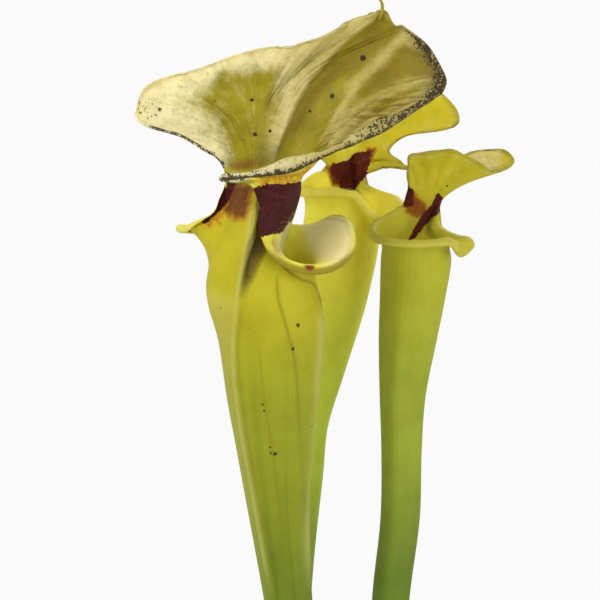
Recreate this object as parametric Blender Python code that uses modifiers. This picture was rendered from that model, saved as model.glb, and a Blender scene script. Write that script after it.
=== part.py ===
# Yellow pitcher plant in a plain nursery pot.
# Three pitcher leaves rise from one rhizome that lies half buried in potting mix.
# Metres, +Z up, origin at the centre of the pot's flat base. The viewer looks along +Y.
from math import cos, pi, sin

import bmesh
import bpy
import numpy as np

MM = 0.001
GAP = 0.0003             # clearance between neighbouring pieces

# pot
POT_HEIGHT = 0.110
POT_TOP_RADIUS = 0.062
POT_BASE_RADIUS = 0.046
POT_WALL = 0.0022
POT_FLOOR = 0.0030
RIM_HEIGHT = 0.014       # the thickened band round the top
RIM_PROUD = 0.0022
DRAIN_COUNT = 6
DRAIN_RADIUS = 0.0045
DRAIN_RING = 0.030

# potting mix
SOIL_LEVEL = 0.099
SOIL_CROWN = 0.0015      # the surface is a little higher in the middle

# rhizome
RHIZOME_CENTRE = (0.0015, 0.004, 0.0975)
RHIZOME_HALF = (0.029, 0.019, 0.0125)
RHIZOME_LUMPS = 0.0007
SOCKET_RADIUS = 0.0054

# leaves
LEAF_WALL = 0.0007
WING_WIDTH = 2.4         # millimetres either side of the seam
WING_TOP = -20.0         # the wing fades out just under the mouth
WING_FOOT = -300.0       # and above the foot

# Each leaf is one sheet, rolled into a tube and closed at the foot. All its lengths are millimetres from
# the middle of its mouth: x to the right, y away from the viewer, z up.
# place: the middle of the mouth. keel: which way the back of the leaf faces, in degrees from the viewer.
# depth: how deep the tube is for its width. wing: how far the seam stands out.
# columns: columns of points for each vein. rows: rows of points between two rings above the tube.
# stations: height, middle x, middle y and half width of the tube, from the foot up.
# veins: angle round the tube from the keel, then four points of the vein above the tube. The first is
# in the throat, the last on the free edge: the rolled lip, the side of the column or the hood's margin.
FRONT_LEAF = {
    "place": (-25.7, -15.0, 425.0), "keel": -20.0, "depth": 0.88, "wing": 1.8,
    "columns": 2, "rows": 2,
    "stations": [(-330, 28, 8, 4.6), (-280, 25, 7, 4.9), (-220, 20, 5, 5.6), (-160, 13, 3, 7),
                 (-120, 8.1, 1.5, 8.3), (-87, 4.7, 0.5, 10.7), (-70, 3.9, 0, 12.9),
                 (-54, 3.2, 0, 15.1), (-33, 2.8, 0, 17.8), (-21, 0.7, 0, 19.0),
                 (-13, -0.5, 0, 18.2)],
    "veins": [
        (-180, (6, 15, -4), (7, 17, 1), (8, 20, 2.5), (9, 22, 0.5)),
        (-150, (-5, 15, -4), (-6, 17, 1), (-8, 20, 2.5), (-9, 22, 0.5)),
        (-122, (-13, 13, -4), (-16, 15.5, 0.5), (-19, 17.5, 2.4), (-21, 19, 1.6)),
        (-103, (-18, 9, -4), (-21.5, 10.5, 0.5), (-25.2, 12, 3), (-27, 12, 2.8)),
        (-89, (-19, 4, -4), (-22, 4.5, 0.8), (-25.6, 5, 3.8), (-27.4, 4.6, 4.1)),
        (-78, (-17, -1, -1.5), (-18.8, 0, 2), (-21.3, 0.5, 4), (-23.5, 1.5, 4.5)),
        (-68, (-13.6, -4.2, 2.6), (-14.3, -2.5, 6), (-15.2, -1, 7.6), (-16.4, 0.3, 8)),
        (-58, (-11.8, -6.5, 6), (-10.7, -5.2, 11), (-11.2, -3.6, 13.6), (-12.6, -2, 14.8)),
        (-49, (-10.4, -9, 7.7), (-9.6, -6.4, 17), (-10.4, -5.6, 22.3), (-12.6, -4.8, 25.6)),
        (-41, (-9, -10.5, 8.3), (-8.2, -6.8, 20), (-12.6, -4.4, 30.4), (-26, -8, 34.7)),
        (-33, (-7.6, -11.7, 8.7), (-6.6, -6.6, 21.6), (-17, -1.8, 36), (-41, -8, 42)),
        (-25, (-6.2, -12.7, 9), (-5.2, -6, 22.8), (-14.5, 1, 40.5), (-38.5, -4, 50)),
        (-17, (-4.6, -13.6, 9.2), (-3.6, -5, 24), (-7.5, 4, 42.5), (-19, 1, 57.8)),
        (-9, (-3, -14.3, 9.3), (-1.8, -4, 25.5), (0, 6, 45.5), (5, 4, 64)),
        (-4, (-2, -14.7, 9.4), (-0.5, -3.5, 26), (5, 7, 49.5), (25, 5, 70.8)),
        (0, (-1.2, -15, 9.5), (0.6, -3, 26.5), (9.5, 8, 53), (40, 6, 75.2)),
        (5, (0.6, -13, 9.4), (2.4, -2.6, 26.5), (15, 8, 51.5), (47.2, 5.5, 70)),
        (9, (2.8, -10, 9.1), (4.8, -1.8, 25.7), (20, 7, 48), (54.5, 1.5, 62.5)),
        (13, (4.5, -7.8, 8.8), (6.8, -1.4, 24.8), (24, 4, 43), (59.5, -4.5, 53)),
        (17, (6, -6.5, 8.5), (8.6, -1.4, 23.7), (25.5, 0, 37.5), (52, -9, 45)),
        (21, (7.3, -5.5, 8.2), (10.3, -1.8, 22.4), (23, -5.5, 32.5), (34, -14, 35.5)),
        (25, (8.4, -5, 7.7), (11.8, -3, 20.8), (16, -12, 26), (13, -18.5, 26.5)),
        (29, (9.2, -5, 7), (12.2, -4.5, 19), (9, -16, 22), (-2, -20.5, 23.2)),
        (34, (8.9, -6, 6.3), (11.4, -7, 16.5), (5, -17, 19), (-13, -20.5, 22.4)),
        (37, (7.6, -8, 5.4), (10.7, -8.2, 13.8), (5.3, -16.9, 17.8), (-2.6, -19.6, 20.3)),
        (40, (6.2, -9.8, 4), (9.3, -10.4, 11), (5.5, -16.5, 13.5), (-0.9, -18.8, 13.5)),
        (48, (5.4, -12.2, -1.2), (3.8, -15.7, 3), (2.5, -17.8, 4.6), (0.3, -18.6, 4)),
        (58, (8.6, -12, -6.5), (6.5, -16, -3.4), (5.5, -17.6, -2.4), (4.6, -18.2, -3.4)),
        (70, (12.8, -10.2, -9), (13.2, -13, -7.2), (12.6, -16, -6.3), (12.5, -17.2, -7.4)),
        (86, (17, -4.5, -9), (19.5, -8.3, -7.2), (22.2, -11.6, -6.4), (23, -12.6, -7.6)),
        (104, (18.5, 1, -6.5), (23.3, -2, -3.2), (28, -4.5, -1.4), (29.6, -5, -2.6)),
        (124, (17.3, 6, -4.5), (23.5, 5, 1.5), (28, 4, 5.2), (29, 4, 5.2)),
        (142, (14, 10.5, -4.5), (19.5, 11, 1.7), (23, 11.5, 5.6), (23.5, 12, 6.4)),
        (160, (10, 14.5, -4.5), (13, 15.5, 0.8), (15.5, 17, 3), (16, 18.5, 2.2)),
    ],
}

MIDDLE_LEAF = {
    "place": (4.3, 42.0, 430.1), "keel": 170.0, "depth": 0.9, "wing": 1.5,
    "columns": 1, "rows": 3,
    "stations": [(-338, -14, -28, 4.5), (-280, -16, -25, 4.8), (-220, -19, -18, 5.3), (-160, -20.5, -10, 5.9),
                 (-127, -19.4, -6, 6.6), (-95, -17.2, -3, 7.8), (-78, -16.4, -2, 8.7),
                 (-59, -12.3, -1, 10.4), (-33, -6.3, 0, 12.4),
                 (-10, -3.3, 0, 13.6)],
    "veins": [
        (-180, (-6, -12.5, 3), (-6, -13.5, 6.5), (-6, -15, 7.6), (-6, -16.5, 6.5)),
        (-155, (0, -12, 2), (0.3, -13, 5.5), (0.8, -14.5, 6.8), (1.2, -16, 5.5)),
        (-135, (4, -10.5, -2), (5, -12, 0), (6.5, -13.5, 0.3), (7.3, -14.5, -1.5)),
        (-118, (7.5, -8, -5), (10, -9.5, -4.5), (12.5, -10.5, -4.3), (13.5, -11, -6)),
        (-102, (9, -4, -5), (13, -5, -3), (16.5, -5.5, -2), (17.8, -5.5, -3)),
        (-86, (9.3, 0, -4), (13.5, 0, -0.5), (17, 0.5, 1.3), (18.2, 1, 1)),
        (-70, (8, 3.5, -3), (11.5, 4, 1), (14.5, 5, 3), (15.5, 5.5, 3)),
        (-58, (6.6, 6, -1), (7.8, 7, 3), (9.5, 8, 4.6), (10.5, 8.5, 4)),
        (-48, (5, 7.7, 0.8), (4.4, 8.6, 5), (5.3, 9, 6.8), (6.3, 9.5, 6.4)),
        (-40, (4.3, 8.9, 2.3), (3.4, 9.3, 7), (4.2, 9.4, 9.2), (5.5, 9.7, 10)),
        (-34, (3.7, 9.4, 3.2), (3.2, 9.3, 9.3), (6.8, 8.3, 12), (11.5, 6.8, 13.2)),
        (-29, (3.2, 9.7, 3.9), (3, 9.4, 11.5), (9.8, 8.4, 16), (20, 4.4, 13.4)),
        (-24, (2.8, 10, 4.4), (2.8, 9.5, 13), (9.3, 8, 15.8), (17.3, 6, 15.2)),
        (-18, (2.3, 10.2, 4.9), (2.5, 9.7, 14.4), (8.4, 9.6, 18.4), (13.4, 9.4, 19.2)),
        (-12, (1.8, 10.4, 5.3), (2.2, 9.8, 15.5), (10, 10.6, 21.8), (20, 10.4, 24.2)),
        (-6, (1.2, 10.6, 5.6), (1.8, 9.9, 16.4), (14, 12.5, 27), (38, 10, 28.5)),
        (-3, (0.7, 10.7, 5.8), (1.4, 9.9, 17), (14, 13, 31), (34, 12, 37)),
        (0, (0, 10.8, 6), (1, 9.9, 17.4), (8, 14, 33.5), (13, 13, 50)),
        (6, (-1, 10.8, 6), (0, 9.8, 17.6), (-1, 15, 33), (0, 14, 47)),
        (13, (-2, 10.6, 6), (-1.2, 9.3, 17.5), (-8, 14, 31), (-13, 12, 42)),
        (20, (-3, 10.3, 6), (-2.6, 9, 17), (-12, 12, 27), (-22, 8, 34)),
        (27, (-3.9, 10, 6), (-3.8, 8.7, 16), (-12.5, 9, 22.5), (-22, 4, 26)),
        (34, (-4.7, 9.6, 6), (-4.8, 8.8, 13.3), (-8.5, 7.8, 17), (-14, 5, 19)),
        (42, (-5.6, 9.2, 5.7), (-5.5, 8.9, 11.3), (-6.5, 8.8, 13.3), (-7.9, 8.6, 14.4)),
        (52, (-7, 8.6, 5), (-7.4, 8.9, 9.6), (-8.3, 9.2, 11.2), (-9.4, 9.5, 11.2)),
        (64, (-9.5, 7.3, 3), (-10.7, 8, 8.5), (-12, 8.5, 10.5), (-13, 9, 9.7)),
        (80, (-13, 4.5, 1), (-14.4, 5, 6), (-15.8, 5.5, 8), (-16.8, 5.8, 7)),
        (100, (-15.8, -0.5, 0.5), (-16.8, -0.7, 4.8), (-18, -1, 6.5), (-18.8, -1.2, 5.6)),
        (122, (-15, -6, 1), (-15.7, -7, 5), (-16.8, -8, 6.6), (-17.6, -8.8, 5.6)),
        (148, (-11, -10.5, 2), (-11.4, -11.5, 5.8), (-12, -13, 7.2), (-12.5, -14.2, 6.1)),
    ],
}

RIGHT_LEAF = {
    "place": (26.3, 18.0, 422.6), "keel": 160.0, "depth": 0.9, "wing": 1.5,
    "columns": 1, "rows": 3,
    "stations": [(-330, -14.5, -10, 4.5), (-280, -14, -9.5, 4.7), (-220, -13, -8, 5.2), (-160, -10, -6, 5.8),
                 (-125, -7.9, -4, 6.5), (-98, -4.8, -2, 6.8),
                 (-74, -4.4, -0.5, 7), (-56, -4.1, 0, 7.9), (-36, -2.4, 0, 10), (-22, -0.9, 0, 11.2),
                 (-8, 0.3, 0, 12.1)],
    "veins": [
        (-180, (-4, -10.8, -3.5), (-4, -12, -1), (-4.2, -13.5, -0.3), (-4.4, -14.6, -1.1)),
        (-158, (0.5, -11.2, -3.6), (0.6, -12.4, -1.1), (0.7, -14, -0.4), (0.8, -15, -1.2)),
        (-136, (5, -10.3, -3.5), (5.6, -11.5, -0.9), (6.4, -13, -0.2), (7, -13.9, -0.9)),
        (-116, (8.5, -8, -3.3), (9.5, -9.3, -0.6), (11, -10.5, 0), (12, -11.3, -1.3)),
        (-100, (10.8, -5.5, -3.5), (13, -6.5, -1.3), (15, -7.5, -2.5), (15.3, -8, -5.5)),
        (-86, (11.8, -3, -3), (15.5, -3.5, -0.3), (18.3, -4, -1), (18.9, -4, -3.6)),
        (-74, (11.8, 0, -3), (15.5, 0, -0.8), (18.6, 0.5, -1.5), (19.6, 0.5, -2.8)),
        (-62, (11, 2.7, -2.8), (13.8, 3.4, -0.8), (16.4, 4, -1.2), (17.4, 4.2, -2.2)),
        (-50, (9.6, 5.2, -2), (11, 6.3, -0.1), (12.4, 7.2, 0), (13.3, 7.6, -0.8)),
        (-39, (8, 7.4, -1), (8.4, 9, 1.6), (9, 10.4, 2), (9.8, 11, 1.5)),
        (-30, (6.8, 8.8, 0.5), (7.2, 10.6, 5), (7.8, 12.4, 7), (8.6, 13.6, 7.5)),
        (-23, (6, 9.4, 1.2), (7.4, 11, 7.5), (10, 13.5, 13), (13, 17, 17)),
        (-16, (5.4, 9.8, 1.6), (7.6, 11.2, 8.6), (12, 14, 17), (18, 20, 25.5)),
        (-9, (4.9, 10, 1.8), (7.6, 11, 9.2), (14.5, 13.5, 19), (30, 20, 27.5)),
        (-4, (4.4, 10.2, 1.9), (7.5, 10.8, 9.4), (15.5, 12, 18.5), (34.5, 15, 24.5)),
        (0, (4, 10.3, 2), (7, 10.6, 9.2), (15, 10, 16), (27, 8, 21.3)),
        (5, (3.4, 10.4, 2.2), (6.2, 10.3, 9.6), (12.5, 8.5, 18.5), (18.5, 6, 26.2)),
        (11, (2.6, 10.4, 2.4), (5, 10.1, 10.2), (9.5, 8, 20), (11.5, 5, 28.8)),
        (18, (1.7, 10.4, 2.6), (3.6, 10, 10.7), (6, 8, 20.5), (4.5, 4, 28)),
        (26, (0.7, 10.3, 2.8), (2, 9.9, 11), (2.5, 8, 20), (-1.5, 4, 27)),
        (34, (-0.4, 10.1, 3), (0.4, 9.8, 11), (0, 8.2, 18), (-2.2, 5.5, 22.3)),
        (42, (-1.5, 9.8, 3), (-1, 9.8, 9.5), (-1.2, 9, 13), (-2, 8, 15)),
        (50, (-2.8, 9.4, 2.6), (-2.6, 9.8, 7), (-2.8, 9.8, 9), (-3.5, 9.8, 9.3)),
        (60, (-4.5, 8.7, 1.2), (-5, 9.4, 5.5), (-5.8, 9.8, 7.6), (-6.6, 10.2, 7.5)),
        (74, (-7, 7.3, -1), (-8.3, 8.2, 3), (-9.8, 8.8, 5.2), (-10.8, 9.2, 5)),
        (92, (-10, 4, -2.5), (-11.8, 4.5, 1), (-13.6, 5, 3.2), (-14.8, 5.2, 2.8)),
        (112, (-11.5, -0.5, -3), (-13, -0.8, 0.4), (-14.5, -1, 2), (-15.8, -1.2, 1.2)),
        (135, (-10.5, -5.2, -3.4), (-11.7, -6, -0.5), (-12.8, -6.8, 0.7), (-14, -7.6, -0.3)),
        (157, (-7.8, -8.6, -3.5), (-8.4, -9.6, -0.9), (-9, -11, 0), (-9.8, -12.1, -0.8)),
    ],
}


def remove_everything():
    for item in list(bpy.data.objects):
        bpy.data.objects.remove(item, do_unlink=True)


def make_material(name, colour, roughness):
    material = bpy.data.materials.new(name)
    material.use_nodes = True
    shader = material.node_tree.nodes["Principled BSDF"]
    shader.inputs["Base Color"].default_value = (*colour, 1.0)
    shader.inputs["Roughness"].default_value = roughness
    shader.inputs["Metallic"].default_value = 0.0
    material.diffuse_color = (*colour, 1.0)
    return material


def add_object(name, mesh, collection, material=None):
    item = bpy.data.objects.new(name, mesh)
    collection.objects.link(item)
    if material:
        mesh.materials.append(material)
    return item


def spline(points, steps, closed):
    """Centripetal curve through the points, which may be whole rings of points."""
    points = np.asarray(points, float)
    count = len(points)
    found = []
    for i in range(count if closed else count - 1):
        if closed:
            before, start, end, after = (points[(i + k) % count] for k in (-1, 0, 1, 2))
        else:
            start, end = points[i], points[i + 1]
            before = points[i - 1] if i > 0 else 2 * start - end
            after = points[i + 2] if i + 2 < count else 2 * end - start
        first, middle, last = (
            np.sqrt(np.linalg.norm(b - a, axis=-1, keepdims=True)) + 1e-6
            for a, b in ((before, start), (start, end), (end, after)))
        leave = end - start + middle * ((start - before) / first - (end - before) / (first + middle))
        arrive = end - start + middle * ((after - end) / last - (after - start) / (middle + last))
        for step in range(steps):
            t = step / steps
            found.append((2 * t**3 - 3 * t**2 + 1) * start + (t**3 - 2 * t**2 + t) * leave
                         + (3 * t**2 - 2 * t**3) * end + (t**3 - t**2) * arrive)
    if not closed:
        found.append(points[-1])
    return np.array(found)


def leaf_rings(leaf):
    """Closed rings of points from the foot of the tube to the leaf's free edge, in metres."""
    veins = leaf["veins"]
    count = len(veins)
    columns, rows = leaf["columns"], leaf["rows"]
    rings = [spline([vein[k] for vein in veins], columns, True) for k in (1, 2, 3, 4)]
    angles = [vein[0] for vein in veins] + [veins[0][0] + 360]
    places = np.arange(count * columns) / columns
    angle = np.interp(places, np.arange(count + 1), angles)
    turn = np.radians(angle + leaf["keel"])
    from_seam = (angle + 360) % 360 - 180
    tube = []
    for z, x, y, half in leaf["stations"]:
        fade = np.clip((WING_TOP - z) / 25, 0, 1) * np.clip((z - WING_FOOT) / 60, 0, 1)
        wing = leaf["wing"] * np.exp(-(np.radians(from_seam) * half / WING_WIDTH) ** 2)
        reach = half + wing * fade
        across = x + reach * np.sin(turn)
        away = y - leaf["depth"] * reach * np.cos(turn)
        tube.append(np.stack([across, away, np.full(len(turn), z)], 1))
    upper = spline(tube[-2:] + rings, rows, False)[rows + 1:]
    return (np.array(tube + list(upper)) + np.array(leaf["place"])) * MM


def make_leaf(name, leaf, collection, material):
    """A thin closed shell: the sheet of rings, split into triangles, given the thickness of the leaf."""
    rings = leaf_rings(leaf)
    rows, columns = rings.shape[:2]
    build = bmesh.new()
    grid = [[build.verts.new(point) for point in ring] for ring in rings]
    foot = build.verts.new(rings[0].mean(axis=0))
    for i in range(rows - 1):
        for j in range(columns):
            k = (j + 1) % columns
            a, b, c, d = grid[i][j], grid[i][k], grid[i + 1][k], grid[i + 1][j]
            build.faces.new((a, b, c))
            build.faces.new((a, c, d))
    for j in range(columns):
        build.faces.new((grid[0][(j + 1) % columns], grid[0][j], foot))
    mesh = bpy.data.meshes.new(name)
    build.to_mesh(mesh)
    build.free()
    item = add_object(name, mesh, collection, material)
    wall = item.modifiers.new("Leaf thickness", "SOLIDIFY")
    wall.thickness = LEAF_WALL
    wall.offset = -1.0
    mesh.shade_smooth()
    return item


def turned(name, profile, collection, material, sides=56):
    """A profile of (radius, height) points, which starts and ends on the axis, turned round it."""
    mesh = bpy.data.meshes.new(name)
    points = [(radius, 0.0, height) for radius, height in profile]
    mesh.from_pydata(points, [(i, i + 1) for i in range(len(points) - 1)], [])
    item = add_object(name, mesh, collection, material)
    screw = item.modifiers.new("Turn", "SCREW")
    screw.steps = sides
    screw.render_steps = sides
    screw.use_merge_vertices = True
    screw.merge_threshold = 0.0001
    screw.use_smooth_shade = True
    return item


def cut(item, cutter):
    cutter.hide_render = True
    cutter.display_type = "WIRE"
    boolean = item.modifiers.new("Cut " + cutter.name, "BOOLEAN")
    boolean.operation = "DIFFERENCE"
    boolean.object = cutter


def pot_radius(height):
    """Outside radius of the tapered wall."""
    return POT_BASE_RADIUS + (POT_TOP_RADIUS - POT_BASE_RADIUS) * height / POT_HEIGHT


def make_pot(collection, cutters, material):
    rim_low = POT_HEIGHT - RIM_HEIGHT
    soft = 0.0006
    profile = [
        (0.0, POT_FLOOR), (pot_radius(POT_FLOOR) - POT_WALL, POT_FLOOR),
        (pot_radius(POT_HEIGHT) - POT_WALL, POT_HEIGHT - soft),
        (pot_radius(POT_HEIGHT) - POT_WALL + soft, POT_HEIGHT),
        (POT_TOP_RADIUS + RIM_PROUD - soft, POT_HEIGHT), (POT_TOP_RADIUS + RIM_PROUD, POT_HEIGHT - soft),
        (pot_radius(rim_low) + RIM_PROUD, rim_low + soft), (pot_radius(rim_low) + RIM_PROUD - soft, rim_low),
        (pot_radius(rim_low), rim_low), (pot_radius(0.002), 0.002),
        (POT_BASE_RADIUS - 0.001, 0.0), (0.0, 0.0),
    ]
    pot = turned("pot", profile, collection, material)
    for number in range(DRAIN_COUNT):
        turn = 2 * pi * number / DRAIN_COUNT
        mesh = bpy.data.meshes.new("drain")
        build = bmesh.new()
        bmesh.ops.create_cone(build, cap_ends=True, segments=20, radius1=DRAIN_RADIUS,
                              radius2=DRAIN_RADIUS, depth=4 * POT_FLOOR)
        build.to_mesh(mesh)
        build.free()
        drain = add_object("drain_cutter_%d" % number, mesh, cutters)
        drain.location = (DRAIN_RING * cos(turn), DRAIN_RING * sin(turn), POT_FLOOR / 2)
        cut(pot, drain)
    return pot


def rhizome_mesh(name, grow):
    """An egg-shaped stem with shallow rings of old leaf scars; grow makes it larger all round."""
    build = bmesh.new()
    bmesh.ops.create_uvsphere(build, u_segments=30, v_segments=14, radius=1.0)
    for vert in build.verts:
        x, y, z = vert.co
        lumps = RHIZOME_LUMPS * (sin(9 * x + 1.0) + 0.7 * sin(5 * y + 7 * z)) * (1 - z * z)
        vert.co = [value * (half + lumps + grow) for value, half in zip((x, y, z), RHIZOME_HALF)]
    mesh = bpy.data.meshes.new(name)
    build.to_mesh(mesh)
    build.free()
    return mesh


def make_rhizome(leaves, collection, cutters, material):
    rhizome = add_object("rhizome", rhizome_mesh("rhizome", 0.0), collection, material)
    rhizome.location = RHIZOME_CENTRE
    for name, leaf in leaves.items():
        z, x, y = (value * MM for value in leaf["stations"][0][:3])
        place = [value * MM for value in leaf["place"]]
        bottom = place[2] + z - GAP
        depth = 0.040
        mesh = bpy.data.meshes.new("socket")
        build = bmesh.new()
        bmesh.ops.create_cone(build, cap_ends=True, segments=32, radius1=SOCKET_RADIUS,
                              radius2=SOCKET_RADIUS, depth=depth)
        build.to_mesh(mesh)
        build.free()
        socket = add_object("socket_cutter_" + name, mesh, cutters)
        socket.location = (place[0] + x, place[1] + y, bottom + depth / 2)
        cut(rhizome, socket)
    rhizome.data.shade_smooth()
    return rhizome


def make_soil(collection, cutters, material):
    low = POT_FLOOR + GAP
    inside = -POT_WALL - GAP
    profile = [
        (0.0, SOIL_LEVEL + SOIL_CROWN), (0.022, SOIL_LEVEL + 0.8 * SOIL_CROWN), (0.044, SOIL_LEVEL),
        (pot_radius(SOIL_LEVEL - 0.001) + inside, SOIL_LEVEL - 0.001), (pot_radius(low) + inside, low),
        (0.0, low),
    ]
    soil = turned("soil", profile, collection, material)
    bed = add_object("rhizome_bed_cutter", rhizome_mesh("bed", GAP), cutters)
    bed.location = RHIZOME_CENTRE
    cut(soil, bed)
    return soil


def main():
    remove_everything()
    parts = bpy.data.collections.new("Yellow pitcher plant")
    cutters = bpy.data.collections.new("Cutters")
    for collection in (parts, cutters):
        bpy.context.scene.collection.children.link(collection)
    leaves = {"pitcher_front": FRONT_LEAF, "pitcher_middle": MIDDLE_LEAF, "pitcher_right": RIGHT_LEAF}
    make_pot(parts, cutters, make_material("Black plastic", (0.03, 0.03, 0.03), 0.5))
    make_soil(parts, cutters, make_material("Potting mix", (0.09, 0.055, 0.035), 0.95))
    make_rhizome(leaves, parts, cutters, make_material("Rhizome skin", (0.22, 0.10, 0.05), 0.7))
    front = make_material("Front leaf", (0.42, 0.42, 0.07), 0.45)
    back = make_material("Back leaves", (0.38, 0.46, 0.07), 0.45)
    for name, leaf in leaves.items():
        make_leaf(name, leaf, parts, front if leaf is FRONT_LEAF else back)


main()
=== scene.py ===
from math import cos, pi, radians, sin

import bmesh
import bpy
import numpy as np
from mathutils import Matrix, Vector, noise


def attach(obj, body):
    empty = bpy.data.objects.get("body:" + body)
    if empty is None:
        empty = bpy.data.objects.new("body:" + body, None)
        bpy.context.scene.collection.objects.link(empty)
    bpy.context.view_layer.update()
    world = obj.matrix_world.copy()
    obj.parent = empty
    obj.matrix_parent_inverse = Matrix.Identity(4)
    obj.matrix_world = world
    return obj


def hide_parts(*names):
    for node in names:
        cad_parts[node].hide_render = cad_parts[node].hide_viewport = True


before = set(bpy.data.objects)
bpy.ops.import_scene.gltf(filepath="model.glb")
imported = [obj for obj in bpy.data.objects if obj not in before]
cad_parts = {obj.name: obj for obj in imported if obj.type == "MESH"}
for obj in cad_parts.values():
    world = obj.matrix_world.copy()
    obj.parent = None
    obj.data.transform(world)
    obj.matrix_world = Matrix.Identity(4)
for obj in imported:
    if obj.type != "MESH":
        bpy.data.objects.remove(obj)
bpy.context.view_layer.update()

mm = 0.001
scene = bpy.context.scene

# Camera: the viewing angle of the photograph. Middle and scale are in pixels of its square picture.
cameraLook = {"target": (-0.0133, -0.015, 0.405), "distance": 1.0, "elevation": 8.0, "lens": 180.0,
              "sensor": 36.0, "near": 0.05, "far": 30.0, "middle": 300.0, "scale": 3000.0}


def makeCamera(look):
    camera = bpy.data.objects.new("Camera", bpy.data.cameras.new("Camera"))
    scene.collection.objects.link(camera)
    lift = radians(look["elevation"])
    target = Vector(look["target"])
    camera.location = target + look["distance"] * Vector((0, -cos(lift), sin(lift)))
    camera.rotation_euler = (target - camera.location).to_track_quat("-Z", "Y").to_euler()
    camera.data.sensor_width = look["sensor"]
    camera.data.lens = look["lens"]
    camera.data.clip_start = look["near"]
    camera.data.clip_end = look["far"]
    scene.camera = camera


makeCamera(cameraLook)


# Light: a bright white studio, softly lit from the upper left and behind.
lightLook = {
    "key": {"place": (-0.75, -0.75, 1.15), "size": 0.9, "power": 12.0, "colour": (1.0, 0.98, 0.95)},
    "fill": {"place": (0.9, -0.8, 0.55), "size": 1.0, "power": 7.0, "colour": (0.96, 0.98, 1.0)},
    "back": {"place": (0.35, 0.8, 0.95), "size": 0.8, "power": 7.0, "colour": (1.0, 1.0, 1.0)},
    "aim": (0.0, 0.0, 0.38),
    "world": (0.93, 0.95, 0.97), "worldStrength": 0.62,
}


def makeLights(look):
    for name in ("key", "fill", "back"):
        plan = look[name]
        lamp = bpy.data.lights.new(name, "AREA")
        lamp.shape = "SQUARE"
        lamp.size = plan["size"]
        lamp.energy = plan["power"]
        lamp.color = plan["colour"]
        item = bpy.data.objects.new(name, lamp)
        item.location = plan["place"]
        item.rotation_euler = (Vector(look["aim"]) - item.location).to_track_quat("-Z", "Y").to_euler()
        item.visible_camera = False
        scene.collection.objects.link(item)
    world = bpy.data.worlds.new("Studio")
    world.use_nodes = True
    background = world.node_tree.nodes["Background"]
    background.inputs["Color"].default_value = (*look["world"], 1)
    background.inputs["Strength"].default_value = look["worldStrength"]
    scene.world = world
    scene.view_settings.view_transform = "Standard"


makeLights(lightLook)


def addObject(name, mesh, material=None):
    item = bpy.data.objects.new(name, mesh)
    scene.collection.objects.link(item)
    if material:
        mesh.materials.append(material)
    return item


def meshFrom(build, name):
    mesh = bpy.data.meshes.new(name)
    build.to_mesh(mesh)
    build.free()
    return mesh


def turnsOf(sides):
    return [2 * pi * j / sides for j in range(sides)]


def levelRing(build, radius, height, sides):
    # corners of one level ring round the axis, from millimetres
    return [build.verts.new((radius * cos(t) * mm, radius * sin(t) * mm, height * mm))
            for t in turnsOf(sides)]


def closeRings(build, rings):
    # faces from ring to ring, and a cap on each end
    for low, high in zip(rings, rings[1:]):
        for j in range(len(low)):
            k = (j + 1) % len(low)
            build.faces.new((low[j], low[k], high[k], high[j]))
    build.faces.new(rings[0][::-1])
    build.faces.new(rings[-1])


def plug(tree, socket, value):
    if isinstance(value, bpy.types.NodeSocket):
        tree.links.new(value, socket)
    elif socket.type == "RGBA":
        socket.default_value = (*value, 1)
    else:
        socket.default_value = value


def addNode(tree, kind, inputs=(), **settings):
    # inputs pair a socket's name or number with a number, a colour or the output that feeds it
    node = tree.nodes.new(kind)
    for key, value in settings.items():
        setattr(node, key, value)
    for slot, value in inputs:
        plug(tree, node.inputs[slot], value)
    return node


def maths(tree, kind, first, second):
    return addNode(tree, "ShaderNodeMath", [(0, first), (1, second)], operation=kind).outputs[0]


def smoothRange(tree, value, low, high, start=0.0, end=1.0):
    inputs = [("Value", value), ("From Min", low), ("From Max", high), ("To Min", start), ("To Max", end)]
    return addNode(tree, "ShaderNodeMapRange", inputs, interpolation_type="SMOOTHSTEP").outputs[0]


def nodeMaterial(name, **settings):
    # a Principled material; settings are named sockets with spaces written as underscores
    material = bpy.data.materials.new(name)
    material.use_nodes = True
    shader = material.node_tree.nodes["Principled BSDF"]
    for key, value in settings.items():
        plug(material.node_tree, shader.inputs[key.replace("_", " ")], value)
    return material, material.node_tree, shader


# Backdrop: a wide round floor that curves up into a low wall, nearly white.
backdropLook = {"rings": (0.5, 1.0, 2.0), "floor": 3.2, "bend": 0.5, "steps": 12, "wall": 1.6, "sides": 48,
                "sunk": 0.0002, "near": 0.4, "far": 0.95, "glow": (0.94, 0.94, 0.94)}


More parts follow.
